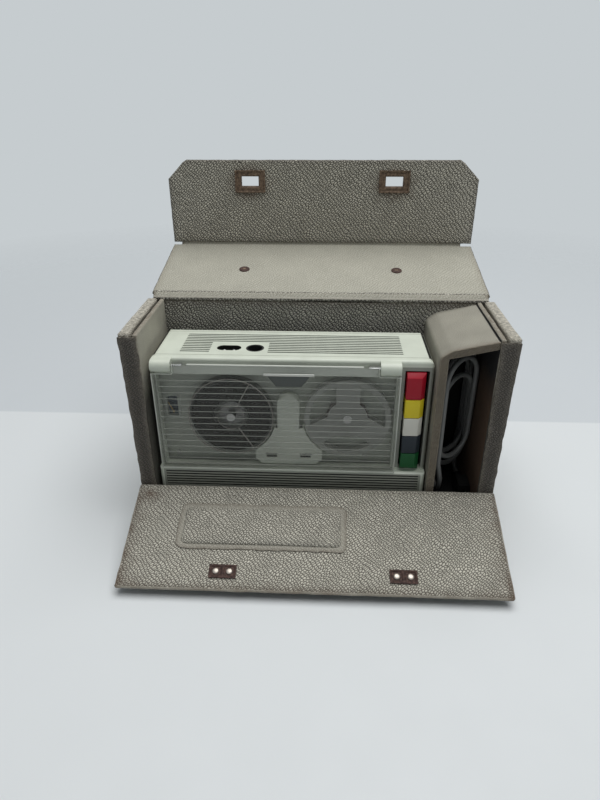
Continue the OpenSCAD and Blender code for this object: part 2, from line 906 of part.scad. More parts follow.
module handle_rivets() {
    low = -cover_t / 2;
    high = cover_t / 2 + handle_t;
    color("saddlebrown") cover_place() handle_rivet_places() {
        rod_z(0, 0, handle_rivet_r, low - handle_head_t / 2, high + handle_head_t / 2);
        rod_z(0, 0, handle_head_r, low - handle_head_t, low);
        rod_z(0, 0, handle_head_r, high, high + handle_head_t);
    }
}

// Tip flap, drawn straight on from the cover
module eyelet_places() {
    for (s = [-1, 1]) translate([s * lock_x, -eyelet_dist, 0]) children();
}

module tip_flap() {
    color("gray") tip_place() difference() {
        union() {
            translate([0, 0, -tip_t / 2]) linear_extrude(tip_t) polygon([
                [-cover_half, -crease_w], [-cover_half, tip_chamfer - tip_len],
                [tip_chamfer - cover_half, -tip_len], [cover_half - tip_chamfer, -tip_len],
                [cover_half, tip_chamfer - tip_len], [cover_half, -crease_w]
            ]);
            block([-cover_half, -crease_w, -crease_t / 2], [cover_half, 0, crease_t / 2]);
            rod_x(0, 0, bead_r, -cover_half, cover_half);
        }
        eyelet_places() cube([slot_w + 2 * eyelet_t, slot_h + 2 * eyelet_t, 2 * tip_t], center = true);
    }
}

module eyelet_frames() {
    color("saddlebrown") tip_place() eyelet_places() difference() {
        union() {
            for (s = [-1, 1]) translate([0, 0, s * (tip_t + eyelet_t) / 2])
                cube([eyelet_w, eyelet_h, eyelet_t], center = true);
            cube([slot_w + 2 * eyelet_t, slot_h + 2 * eyelet_t, tip_t + eyelet_t], center = true);
        }
        cube([slot_w, slot_h, 2 * tip_t], center = true);
    }
}

// Cabinet: open box behind the bezel, with posts, vents, socket holes and the volume wheel's lugs
vent_rows = 11;
socket_margin = 3;
socket_left = mains_u - mains_w / 2 - socket_wall - socket_margin;
socket_right = round_u + round_r + socket_margin;
vent_span = (vent_right - socket_right) / 3;
vent_cols = [
    [vent_left, socket_left], [socket_left, socket_right],
    for (i = [0 : 2]) [socket_right + i * vent_span, socket_right + (i + 1) * vent_span]
];

module vent_cuts() {
    for (row = [0 : vent_rows - 1]) {
        v = vent_front + row * vent_pitch;
        clear = v > socket_v + round_r + socket_margin;
        for (col = [0 : len(vent_cols) - 1]) if (col != 1 || clear)
            block([vent_cols[col][0] + vent_bar / 2, v, rec_h - shell_t - past],
                [vent_cols[col][1] - vent_bar / 2, v + vent_slot, rec_h + past]);
        for (run = clear ? [[vent_left, vent_right]] : [[vent_left, socket_left], [socket_right, vent_right]])
            block([run[0] + vent_bar / 2, v, rec_h - vent_sink], [run[1] - vent_bar / 2, v + vent_slot, rec_h + past]);
    }
}

// Half of the slot that the volume wheel passes through, at the wall's inner face
volume_chord = sqrt(pow(volume_r, 2) - pow(volume_u - shell_t, 2)) + volume_slot_gap;

module volume_lugs() {
    for (s = [-1, 1]) {
        mid = volume_w + s * (volume_t / 2 + volume_lug_gap + volume_lug / 2);
        block([shell_t - past, volume_v - volume_lug_w / 2, mid - volume_lug / 2],
            [volume_u + volume_lug_w / 2, volume_v + volume_lug_w / 2, mid + volume_lug / 2]);
    }
}

// The housing from the depth v0 to its back, all its outer edges round, drawn in by inset on every side
module housing_form(v0, inset) {
    back = rec_d - inset;
    rear = rear_r - inset;
    intersection() {
        slab_y(v0, back) round_rect([inset, inset], [rec_w - inset, rec_h - inset], corner_r - inset);
        translate([0, 0, -past]) linear_extrude(rec_h + 2 * past)
            round_rect([inset, -rec_d], [rec_w - inset, back], rear);
        translate([-past, 0, 0]) rotate([90, 0, 90]) linear_extrude(rec_w + 2 * past)
            round_rect([-rec_d, inset], [back, rec_h - inset], rear);
    }
}

module cabinet() {
    color("lightgray") rec_place() difference() {
        union() {
            difference() {
                housing_form(bezel_d, 0);
                housing_form(bezel_d - past, shell_t);
            }
            for (p = post_places) rod_y(p[0], p[1], post_r, deck_back, shell_back + past);
            volume_lugs();
        }
        for (p = post_places)
            rod_y(p[0], p[1], screw_r + pin_fit, deck_back - past, deck_v + screw_len + past);
        for (p = foot_places) rod_y(p[0], p[1], foot_screw_r + pin_fit, shell_back - past, rec_d + past);
        vent_cuts();
        translate([mains_u, socket_v, rec_h - shell_t - past])
            linear_extrude(shell_t + 2 * past) stadium(mains_w, mains_h);
        rod_z(round_u, socket_v, round_r + pin_fit, rec_h - shell_t - past, rec_h + past);
        rod_z(volume_u, volume_v, volume_shaft_r + run_fit, volume_w - volume_r, volume_w + volume_r);
        block([-past, volume_v - volume_chord, volume_w - volume_t / 2 - volume_slot_gap],
            [shell_t + past, volume_v + volume_chord, volume_w + volume_t / 2 + volume_slot_gap]);
    }
}

// Bezel: rim with the reel window, the key slot, the grille and the lid's hinge barrels
module barrel_ends() {
    for (u = [lid_left + barrel_inset, lid_right - barrel_inset - barrel_len]) translate([u, 0, 0]) children();
}

module front_bezel() {
    color("lightgray") rec_place() difference() {
        union() {
            intersection() {
                slab_y(0, bezel_d) round_rect([0, 0], [rec_w, rec_h], corner_r);
                translate([0, 0, -past]) linear_extrude(rec_h + 2 * past)
                    round_rect([0, 0], [rec_w, rec_d], front_r);
                translate([-past, 0, 0]) rotate([90, 0, 90]) linear_extrude(rec_w + 2 * past)
                    round_rect([0, 0], [rec_d, rec_h], front_r);
            }
            intersection() {
                slab_y(-grille_proud, front_r) round_rect([0, 0], [rec_w, rec_h], corner_r);
                translate([0, 0, -past]) linear_extrude(rec_h + 2 * past)
                    round_rect([0, -grille_proud], [rec_w, rec_d], front_r);
                translate([-past, 0, 0]) rotate([90, 0, 90]) linear_extrude(rec_w + 2 * past)
                    round_rect([-grille_proud, 0], [rec_d, ledge_w], front_r);
            }
            barrel_ends() {
                rod_x(-lid_axis_v, lid_axis_w, barrel_r, 0, barrel_len);
                block([0, -lid_axis_v, lid_axis_w - barrel_r], [barrel_len, front_r, lid_axis_w + barrel_r]);
            }
        }
        block([window_margin, -past, window_low],
            [lid_right - window_right_margin, bezel_d + past, window_high]);
        block([key_slot_left, -past, key_low - key_end_gap],
            [key_slot_right, bezel_d + past, key_high + key_end_gap]);
        for (w = [grille_low : grille_pitch : ledge_w - grille_slot - front_r / 2])
            block([window_margin, -grille_proud - past, w], [rec_w - window_margin, bezel_d + past, w + grille_slot]);
        rod_x(-lid_axis_v, lid_axis_w, lid_pin_r + pin_fit, lid_left + barrel_inset + lid_pin_in - past,
            lid_right - barrel_inset - lid_pin_in + past);
    }
}

// Deck plate with the capstan's bush, the pinch arm's pivot and the key shaft's lugs
module key_shaft_lugs() {
    for (w = [key_low - key_lug - key_lug_gap, key_high + key_lug_gap])
        block([key_pivot_u - key_lug_r, deck_back - past / 2, w],
            [key_pivot_u + key_lug_r, key_pivot_v + key_lug_r, w + key_lug]);
}

module deck_plate() {
    side = shell_t + rest_gap;
    color("whitesmoke") rec_place() difference() {
        union() {
            slab_y(deck_v, deck_back) intersection() {
                round_rect([side, side], [rec_w - side, rec_h - side], corner_r - shell_t);
                translate([side, deck_low]) square([deck_right - side, rec_h]);
            }
            rod_y(capstan_u, capstan_w, bush_r, deck_back - past, deck_back + bush_len);
            rod_y(pinch_pivot_u, pinch_w, pinch_pivot_r, arm_back - arm_t, deck_v + past);
            key_shaft_lugs();
        }
        for (u = [reel_u, reel_right_u])
            rod_y(u, reel_z, spindle_shaft_r + run_fit, deck_v - past, deck_back + past);
        rod_y(capstan_u, capstan_w, capstan_r + run_fit, deck_v - past, deck_back + bush_len + past);
        for (p = post_places) rod_y(p[0], p[1], screw_r + pin_fit, deck_v - past, deck_back + past);
        meter_block(meter_rim + pin_fit, deck_v - past, deck_back + past);
        rod_z(key_pivot_u, key_pivot_v, key_shaft_r + pin_fit, deck_low, rec_h);
    }
}

// Head cover: a stem between the reels that widens into a foot, cut round by both reels
module head_outline(inset) {
    stem_half = stem_w / 2 - inset;
    foot_half = head_foot_w / 2 - inset;
    low = head_low + inset;
    cut = head_chamfer - inset * (2 - sqrt(2));
    difference() {
        union() {
            translate([head_mid - stem_half, head_low + inset])
                square([2 * stem_half, stem_top - stem_w / 2 - head_low - inset]);
            translate([head_mid, stem_top - stem_w / 2]) circle(stem_half);
            polygon([
                [head_mid - foot_half + cut, low], [head_mid + foot_half - cut, low],
                [head_mid + foot_half, low + cut], [head_mid + foot_half, head_high],
                [head_mid - foot_half, head_high], [head_mid - foot_half, low + cut]
            ]);
        }
        for (u = [reel_u, reel_right_u]) translate([u, reel_z]) circle(reel_r + reel_clear + inset);
    }
}

module head_cover() {
    slit = (reel_width - tape_width) / 2 - rest_gap;
    color("whitesmoke") rec_place() difference() {
        slab_y(head_front, deck_v) head_outline(0);
        slab_y(head_front + head_wall, deck_v + past) head_outline(head_wall);
        block([head_mid - head_foot_w, reel_front + slit, head_low + head_wall + tape_slit_up],
            [head_mid + head_foot_w, deck_v - rest_gap, head_low + head_wall + tape_slit_up + tape_slit_h]);
        for (s = [-1, 1]) translate([head_mid + s * head_slot_u, 0, head_low + head_slot_up])
            slab_y(head_front - past, head_front + head_wall + past) stadium(head_slot_w, head_slot_h);
    }
}

// Heads stand on the deck plate under their cover
module head_block(u, w, size) {
    rec_place() difference() {
        union() {
            block([u - size[0] / 2, deck_v - size[1], w - size[2] / 2],
                [u + size[0] / 2, deck_v, w + size[2] / 2]);
            rod_y(u, w + size[2] / 2 - pole_drop, pole_r, deck_v - size[1] + past, deck_v);
        }
        block([u - pole_gap, deck_v - size[1] - past, w + size[2] / 2],
            [u + pole_gap, deck_v - past, w + size[2] / 2 + pole_r]);
    }
}

module record_head() {
    color("lightsteelblue") head_block(head_mid - record_head_u, head_low + heads_up, record_head_size);
}

module erase_head() {
    color("slategray") head_block(head_mid - erase_head_u, head_low + heads_up, erase_head_size);
}

module tape_guides() {
    reach = head_foot_w / 2 - head_wall - guide_r - rest_gap;
    color("silver") rec_place() for (s = [-1, 1])
        rod_y(head_mid + s * reach, head_low + guides_up, guide_r,
            head_front + head_wall + inside_gap, deck_v);
}

// Drive: motor on stand-offs behind the deck, flywheel on the capstan, belt between them
module motor() {
    stand = motor_r - motor_stand_in;
    color("darkslategray") rec_place() difference() {
        union() {
            rod_y(motor_u, motor_w, motor_r, motor_v, motor_v + motor_len);
            for (a = [110, 180, 250])
                rod_y(motor_u + stand * cos(a), motor_w + stand * sin(a), motor_stand_r,
                    deck_back, motor_v + past);
        }
        rod_y(motor_u, motor_w, motor_shaft_r + run_fit, motor_v - past, motor_v + motor_shaft_in + past);
    }
}

module motor_pulley() {
    color("goldenrod") rec_place() {
        rod_y(motor_u, motor_w, motor_shaft_r, flywheel_v, motor_v + motor_shaft_in);
        rod_y(motor_u, motor_w, pulley_r, flywheel_v + pulley_gap, motor_v - pulley_gap);
    }
}

module capstan_flywheel() {
    color("darkgray") rec_place() {
        rod_y(capstan_u, capstan_w, capstan_r, head_front + head_wall + inside_gap,
            flywheel_v + flywheel_w + capstan_tail);
        rod_y(capstan_u, capstan_w, flywheel_r, flywheel_v, flywheel_v + flywheel_w);
    }
}

// Outline of a belt laid round two pulleys, out by a distance from their rims
module belt_outline(out) {
    span = [capstan_u - motor_u, capstan_w - motor_w];
    lean = asin((flywheel_r - pulley_r) / norm(span));
    heading = atan2(span[1], span[0]);
    a = [heading + 90 + lean, heading - 90 - lean];
    near = [for (t = a) [motor_u, motor_w] + (pulley_r + out) * [cos(t), sin(t)]];
    far = [for (t = a) [capstan_u, capstan_w] + (flywheel_r + out) * [cos(t), sin(t)]];
    translate([motor_u, motor_w]) circle(pulley_r + out);
    translate([capstan_u, capstan_w]) circle(flywheel_r + out);
    polygon([near[0], near[1], far[1], far[0]]);
}

module drive_belt() {
    color("black") rec_place() slab_y(belt_v, belt_v + belt_w) difference() {
        belt_outline(rest_gap + belt_t);
        belt_outline(rest_gap);
    }
}

module pinch_arm() {
    color("silver") rec_place() difference() {
        union() {
            rod_y(pinch_pivot_u, pinch_w, arm_boss_r, arm_back - arm_t, arm_back);
            block([capstan_u, arm_back - arm_t, pinch_w - arm_h / 2],
                [pinch_pivot_u, arm_back, pinch_w + arm_h / 2]);
            rod_y(capstan_u, pinch_w, arm_end_r, arm_back - arm_t, arm_back);
            rod_y(capstan_u, pinch_w, pinch_pin_r, head_front + head_wall + inside_gap,
                arm_back - arm_t / 2);
        }
        rod_y(pinch_pivot_u, pinch_w, pinch_pivot_r + run_fit, arm_back - arm_t - past, arm_back + past);
    }
}

module pinch_roller() {
    color("black") rec_place() difference() {
        rod_y(capstan_u, pinch_w, pinch_r, head_front + head_wall + 2 * inside_gap,
            arm_back - arm_t - rest_gap);
        rod_y(capstan_u, pinch_w, pinch_pin_r + run_fit, head_front, deck_v);
    }
}

// Inside pieces carried by the cabinet's back wall and the bezel
module transformer() {
    left = rec_w - core_in - core_size[0];
    front = shell_back - core_size[1];
    color("dimgray") rec_place() {
        block([left, front, core_up], [left + core_size[0], shell_back, core_up + core_size[2]]);
        block([left + coil_in[0], front - coil_proud, core_up + coil_in[1]],
            [left + core_size[0] - coil_in[0], front + past, core_up + core_size[2] - coil_in[1]]);
    }
}

// Box that stands on the circuit board, from its corner on the board
module on_board(at, size) {
    translate([at[0], -size[1], at[1]]) cube([size[0], size[1] + past, size[2]]);
}

module circuit_board() {
    low = rec_h - board_drop - board_size[2];
    right = board_u + board_size[0];
    high = low + board_size[2];
    back = shell_back - board_stand;
    face = back - board_size[1];
    color("olive") rec_place() {
        block([board_u, face, low], [right, back, high]);
        for (u = [board_u + board_edge[0], right - board_edge[0]],
                w = [low + board_edge[1], high - board_edge[1]])
            rod_y(u, w, board_stand_r, back - past, shell_back);
        translate([board_u, face, low]) {
            for (i = [0 : 3]) rod_y(can_at[0] + can_pitch * i, can_at[1], can_r, -can_len, past);
            for (i = [0 : 4]) on_board([resistor_at[0] + resistor_pitch * i, resistor_at[1]], resistor_size);
            on_board(module_at, module_size);
        }
    }
}

module loudspeaker() {
    color("black") rec_place() difference() {
        union() {
            translate([speaker_u, 0, speaker_w]) slab_y(bezel_d, bezel_d + speaker_t)
                stadium(speaker_len, grille_h - speaker_lap);
            rod_y(speaker_u, speaker_w, basket_r, bezel_d + past, bezel_d + basket_len);
            rod_y(speaker_u, speaker_w, magnet_r, bezel_d + basket_len - past,
                bezel_d + basket_len + magnet_len);
        }
        rod_y(speaker_u, speaker_w, cone_r, bezel_d - past, bezel_d + cone_depth);
    }
}

module mains_socket() {
    top = rec_h - shell_t;
    half = [mains_w / 2 + socket_wall, mains_h / 2 + socket_wall];
    color("black") rec_place() {
        difference() {
            block([mains_u - half[0], socket_v - half[1], top - mains_depth],
                [mains_u + half[0], socket_v + half[1], top]);
            translate([mains_u, socket_v, top - mains_depth + socket_wall])
                linear_extrude(mains_depth) stadium(mains_w, mains_h);
        }
        for (s = [-1, 1])
            rod_z(mains_u + s * mains_pin_pitch / 2, socket_v, mains_pin_r,
                top - mains_depth + past, top - past);
    }
}

module signal_socket() {
    top = rec_h - shell_t;
    pins = [for (a = [0 : 45 : 180]) [round_u, socket_v] + contact_ring * [cos(a), sin(a)]];
    color("black") rec_place() difference() {
        union() {
            rod_z(round_u, socket_v, round_r, top - past, rec_h);
            rod_z(round_u, socket_v, round_r + round_flange, rec_h - round_depth - round_floor, top);
        }
        rod_z(round_u, socket_v, round_bore_r, rec_h - round_depth, rec_h + past);
        for (p = pins) rod_z(p[0], p[1], contact_r, rec_h - round_depth - contact_in, rec_h);
    }
}

module meter_block(grow, v0, v1) {
    half = [meter_w / 2 + grow, meter_h / 2 + grow];
    block([meter_u - half[0], v0, meter_mid - half[1]], [meter_u + half[0], v1, meter_mid + half[1]]);
}

needle_w0 = meter_mid - meter_h / 2 + needle_up;

module level_meter() {
    color("slategray") rec_place() difference() {
        union() {
            meter_block(meter_rim, deck_v - meter_lip, deck_back + meter_depth);
            meter_block(meter_rim + meter_lip, deck_v - meter_lip, deck_v);
        }
        meter_block(0, deck_v - meter_lip - past, deck_v + dial_depth);
        rod_y(meter_u, needle_w0, needle_r + run_fit, deck_v, deck_v + needle_in + needle_shaft + run_fit);
    }
}

module meter_needle() {
    front = deck_v + needle_in;
    color("red") rec_place() {
        rod_y(meter_u, needle_w0, needle_r, front, front + needle_shaft);
        translate([meter_u, 0, needle_w0]) rotate([0, -needle_swing / 2, 0])
            block([-needle_w / 2, front, 0], [needle_w / 2, front + needle_w, needle_len]);
    }
}

module key_shaft() {
    color("silver") rec_place()
        rod_z(key_pivot_u, key_pivot_v, key_shaft_r, key_low - key_lug - key_shaft_end,
            key_high + key_lug + key_shaft_end);
}

module recorder_feet() {
    color("black") rec_place() for (p = foot_places) difference() {
        rod_y(p[0], p[1], foot_r, rec_d, rec_d + foot_len);
        rod_y(p[0], p[1], foot_screw_r + pin_fit, rec_d - past, rec_d + foot_len + past);
        rod_y(p[0], p[1], foot_bore_r, rec_d + foot_len - foot_bore, rec_d + foot_len + past);
    }
}

module housing_screws() {
    seat = rec_d + foot_len - foot_bore;
    color("silver") rec_place() {
        for (p = post_places) {
            rod_y(p[0], p[1], screw_r, deck_v - past / 2, deck_v + screw_len);
            rod_y(p[0], p[1], screw_head_r, deck_v - screw_head_t, deck_v);
        }
        for (p = foot_places) {
            rod_y(p[0], p[1], foot_screw_r, shell_back - foot_screw_in, seat + past);
            rod_y(p[0], p[1], foot_bore_r - foot_bore_gap, seat, seat + foot_head_t);
        }
    }
}

// Clear lid, notched round the hinge barrels
module lid_cover() {
    sheet_back = lid_t - lid_proud;
    rim_back = -rest_gap;
    left = lid_left + lid_notch_w;
    right = lid_right - lid_notch_w;
    color("lightblue", 0.4) rec_place() difference() {
        union() {
            slab_y(-lid_proud, sheet_back) polygon([
                [lid_left, lid_low], [lid_right, lid_low], [lid_right, lid_notch], [right, lid_notch],
                [right, lid_high], [left, lid_high], [left, lid_notch], [lid_left, lid_notch]
            ]);
            for (u = [lid_left, lid_right - lid_t])
                block([u, -lid_proud, lid_low], [u + lid_t, rim_back, lid_notch]);
            block([lid_left, -lid_proud, lid_low], [lid_right, rim_back, lid_low + lid_t]);
            for (i = [0 : lid_ribs - 1])
                translate([0, 0, lid_low + lid_rib_up + i * lid_rib_pitch])
                    block([lid_left + lid_rib_in, -lid_proud - lid_rib_t, 0],
                        [lid_right - lid_rib_in, -lid_proud + past, lid_rib_h]);
            for (u = [left, right - knuckle_len])
                rod_x(-lid_axis_v, lid_axis_w, lid_proud - lid_axis_v, u, u + knuckle_len);
        }
        rod_x(-lid_axis_v, lid_axis_w, lid_pin_r + run_fit, lid_left, lid_right);
    }
}

module hinge_pins() {
    start = barrel_inset + lid_pin_in;
    reach = lid_notch_w + knuckle_len - start;
    color("silver") rec_place() for (u = [lid_left + start, lid_right - start - reach])
        rod_x(-lid_axis_v, lid_axis_w, lid_pin_r, u, u + reach);
}

// Keys, counted from the lowest
function key_base(i) = key_low + i * key_h;
function key_cap_h(i) = i == key_count - 1 ? key_top_h : key_h;

module key_lever(i) {
    low = key_base(i) + key_gap / 2;
    high = key_base(i) + key_cap_h(i) - key_gap / 2;
    mid = (low + high) / 2;
    right = key_left + key_w;
    top_bevel = i == key_count - 1 ? key_bevel : key_edge;
    low_bevel = i == 0 ? key_bevel : key_edge;
    stalk = key_left + key_stalk_in;
    arm = [mid - key_arm_h / 2, mid + key_arm_h / 2];
    rec_place() difference() {
        union() {
            intersection() {
                translate([0, 0, low]) linear_extrude(high - low) polygon([
                    [key_left, key_cap_back], [key_left, -key_proud], [right - key_bevel, -key_proud],
                    [right, key_bevel - key_proud], [right, key_cap_back]
                ]);
                translate([key_left - past, 0, 0]) rotate([90, 0, 90])
                    linear_extrude(key_w + 2 * past) polygon([
                    [-key_proud, low + low_bevel], [low_bevel - key_proud, low], [key_cap_back, low],
                    [key_cap_back, high], [top_bevel - key_proud, high], [-key_proud, high - top_bevel]
                ]);
            }
            block([stalk, key_cap_back - past, arm[0]], [stalk + key_stalk_w, key_arm_v + key_arm_t, arm[1]]);
            block([key_pivot_u, key_arm_v, arm[0]], [stalk + key_stalk_w, key_arm_v + key_arm_t, arm[1]]);
            rod_z(key_pivot_u, key_pivot_v, key_hub_r, arm[0], arm[1]);
        }
        rod_z(key_pivot_u, key_pivot_v, key_shaft_r + run_fit, arm[0] - past, arm[1] + past);
    }
}

module key_record() {
    color("crimson") key_lever(4);
}

module key_rewind() {
    color("gold") key_lever(3);
}

module key_stop() {
    color("white") key_lever(2);
}

module key_play() {
    color("darkslategray") key_lever(1);
}

module key_forward() {
    color("forestgreen") key_lever(0);
}

// Reels: two flanges with three windows each on a hub
module reel_flange(spoke_w) {
    difference() {
        circle(reel_r);
        difference() {
            circle(reel_r - spoke_rim);
            circle(hub_r + spoke_root);
            for (a = [90, 210, 330]) rotate(a) translate([0, -spoke_w / 2]) square([reel_r, spoke_w]);
        }
        circle(spindle_r + pin_fit);
    }
}

module reel(u, spoke_w) {
    rec_place() translate([u, 0, reel_z]) {
        for (v = [reel_front, reel_back - flange_t]) slab_y(v, v + flange_t) reel_flange(spoke_w);
        slab_y(reel_front + flange_t / 2, reel_back - flange_t / 2) difference() {
            circle(hub_r);
            circle(spindle_r + pin_fit);
        }
    }
}

module reel_left() {
    color("lightgray") reel(reel_u, spoke_left_w);
}

module reel_right() {
    color("ghostwhite") reel(reel_right_u, spoke_right_w);
}

module tape_pack(u, r) {
    mid = (reel_front + reel_back) / 2;
    rec_place() translate([u, 0, reel_z]) slab_y(mid - tape_width / 2, mid + tape_width / 2) difference() {
        circle(r);
        circle(hub_r + pin_fit);
    }
}

module tape_left() {
    color("saddlebrown") tape_pack(reel_u, pack_left_r);
}

module tape_right() {
    color("saddlebrown") tape_pack(reel_right_u, pack_right_r);
}

module spindle(u) {
    rec_place() {
        rod_y(u, reel_z, spindle_r, reel_front - spindle_proud, reel_back + table_t / 2);
        rod_y(u, reel_z, table_r, reel_back, reel_back + table_t);
        rod_y(u, reel_z, spindle_shaft_r, reel_back, deck_back + tray_t + spindle_tail);
        rod_y(u, reel_z, tray_r, deck_back + rest_gap, deck_back + rest_gap + tray_t);
    }
}

module spindle_left() {
    color("silver") spindle(reel_u);
}

module spindle_right() {
    color("silver") spindle(reel_right_u);
}

module volume_wheel() {
    color("dimgray") rec_place() {
        rod_z(volume_u, volume_v, volume_r, volume_w - volume_t / 2, volume_w + volume_t / 2);
        rod_z(volume_u, volume_v, volume_shaft_r, volume_w - volume_t / 2 - volume_lug_gap - volume_lug,
            volume_w + volume_t / 2 + volume_lug_gap + volume_lug);
    }
}

// Cable: out of the plug and up, loops that step towards the back, down into the connector
function mix(a, b, t) = a + (b - a) * t;

// One loop: up on the left, over, down on the right, under; four parts of equal ring count
function loop_point(k, j) = let(
    part = floor(4 * j / loop_rings),
    t = 4 * j / loop_rings - part,
    low = loop_lows[k],
    high = loop_tops[k],
    next = loop_lows[k + 1],
    h = part == 0 ? -loop_r : part == 1 ? -loop_r * cos(180 * t) : part == 2 ? loop_r : loop_r * cos(180 * t),
    z = part == 0 ? mix(low, high, t)
        : part == 1 ? high + loop_r * sin(180 * t)
        : part == 2 ? mix(high, next, t) : next - loop_r * sin(180 * t))
    [cable_mid_x + h * cos(loop_turn),
     loop_front + h * sin(loop_turn) + loop_step * (k + j / loop_rings), z];

// The last loop stops before it would turn under
function loop_ring_count(k) = k < cable_loops - 1 ? loop_rings : 3 * loop_rings / 4;

loop_points = [for (k = [0 : cable_loops - 1], j = [0 : loop_ring_count(k) - 1]) loop_point(k, j)];
loop_start = loop_points[0];
loop_end = loop_points[len(loop_points) - 1];

// Straight out of the plug, a quarter bend upwards, then a slant to the first loop
lead_in_y = back_in - plug_back_gap - plug_pin_len - plug_len - relief_len;
lead_up_y = lead_in_y - cable_d - bend_r;
lead_in = concat(
    [[plug_x, lead_in_y, plug_z]],
    [for (a = [0 : 15 : 90]) [plug_x, lead_up_y + bend_r * (1 - sin(a)), plug_z + bend_r * (1 - cos(a))]]);

// A slant down from the last loop, a quarter bend forwards, then straight into the connector
lead_out = concat(
    [for (a = [0 : 15 : 90])
        [connector_x, loop_end[1] - bend_r * (1 - cos(a)), connector_z + bend_r * (1 - sin(a))]],
    [[connector_x, loop_end[1] - bend_r - cable_d, connector_z]]);
cable_route = concat(lead_in, loop_points, lead_out);
connector_y = loop_end[1] - bend_r - cable_d;

function unit(v) = v / norm(v);

function route_dir(p, i) = i == 0 ? unit(p[1] - p[0])
    : i == len(p) - 1 ? unit(p[i] - p[i - 1])
    : unit(unit(p[i + 1] - p[i]) + unit(p[i] - p[i - 1]));

// Tube of triangles swept along a route
module tube(p, d, sides) {
    across = [-sin(loop_turn), cos(loop_turn), 0];
    points = [for (i = [0 : len(p) - 1]) let(
        t = route_dir(p, i),
        a = unit(cross(t, across)),
        b = cross(t, a))
        for (s = [0 : sides - 1]) p[i] + d / 2 * (cos(360 * s / sides) * a + sin(360 * s / sides) * b)];
    last = (len(p) - 1) * sides;
    faces = concat(
        [for (i = [0 : len(p) - 2], s = [0 : sides - 1]) let(n = (s + 1) % sides)
            each quad(i * sides + s, i * sides + n, (i + 1) * sides + n, (i + 1) * sides + s)],
        [for (s = [1 : sides - 2]) [0, s + 1, s]],
        [for (s = [1 : sides - 2]) [last, last + s, last + s + 1]]);
    polyhedron(points, faces);
}

// Least gap of the cable to itself, on points between the rings, past the neighbouring stretch
fine = 4;
fine_route = [for (i = [0 : len(cable_route) - 2], k = [0 : fine - 1])
    mix(cable_route[i], cable_route[i + 1], k / fine)];
skip = 6 * fine;
cable_gap = min([for (i = [0 : len(fine_route) - 1 - skip], j = [i + skip : len(fine_route) - 1])
    norm(fine_route[i] - fine_route[j])]) - cable_d;
cable_steps = [for (i = [1 : len(cable_route) - 1]) norm(cable_route[i] - cable_route[i - 1])];
cable_length = cable_steps * [for (s = cable_steps) 1];

module stored_cable() {
    echo(cable_gap = cable_gap, cable_length = cable_length);
    color("dimgray") tube(cable_route, cable_d, cable_sides);
}

// Plug and connector stand on edge, their strain reliefs towards the cable
module cable_plug() {
    half = plug_h / 2;
    y0 = lead_in_y + relief_len;
    neck = relief_r + neck_lip;
    color("dimgray") translate([plug_x, 0, plug_z]) {
        rod_y(0, 0, relief_r, lead_in_y, y0 + past);
        translate([-plug_t / 2, 0, 0]) rotate([90, 0, 90]) linear_extrude(plug_t) polygon([
            [y0, -neck], [y0 + plug_neck, -neck - neck_lip], [y0 + plug_shoulder, -half],
            [y0 + plug_len, -half], [y0 + plug_len, half], [y0 + plug_shoulder, half],
            [y0 + plug_neck, neck + neck_lip], [y0, neck]
        ]);
        for (s = [-1, 1])
            rod_y(0, s * plug_pin_pitch / 2, plug_pin_r, y0 + plug_len - past, y0 + plug_len + plug_pin_len);
    }
}

module cable_connector() {
    half = connector_h / 2;
    y1 = connector_y - relief_len;
    neck = relief_r + neck_lip;
    color("dimgray") translate([connector_x, 0, connector_z]) difference() {
        union() {
            rod_y(0, 0, relief_r, y1 - past, connector_y);
            translate([-connector_t / 2, 0, 0]) rotate([90, 0, 90]) linear_extrude(connector_t) polygon([
                [y1, neck], [y1 - connector_taper, half], [y1 - connector_len, half],
                [y1 - connector_len, -half], [y1 - connector_taper, -half], [y1, -neck]
            ]);
        }
        for (s = [-1, 1])
            rod_y(0, s * mains_pin_pitch / 2, mains_pin_r + contact_gap, y1 - connector_len - past,
                y1 - connector_len + mains_depth);
    }
}

back_panel();
base_panel();
base_liner();
left_wall();
left_wall_liner();
right_wall();
right_wall_liner();
front_lip();
compartment_box();
front_flap();
flap_pad();
lock_fittings();
lock_knob_left();
lock_knob_right();
top_cover();
handle_strap();
handle_rivets();
tip_flap();
eyelet_frames();
cabinet();
front_bezel();
deck_plate();
head_cover();
record_head();
erase_head();
tape_guides();
motor();
transformer();
circuit_board();
loudspeaker();
mains_socket();
signal_socket();
level_meter();
key_shaft();
recorder_feet();
housing_screws();
drive_belt();
lid_cover();
hinge_pins();
key_record();
key_rewind();
key_stop();
key_play();
key_forward();
reel_left();
tape_left();
spindle_left();
reel_right();
tape_right();
spindle_right();
capstan_flywheel();
motor_pulley();
pinch_arm();
pinch_roller();
volume_wheel();
meter_needle();
stored_cable();
cable_plug();
cable_connector();
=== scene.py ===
"""Portable tape recorder in its open leatherette case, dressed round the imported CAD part."""
import json
import math

import bmesh
import bpy
from mathutils import Matrix, Vector, noise


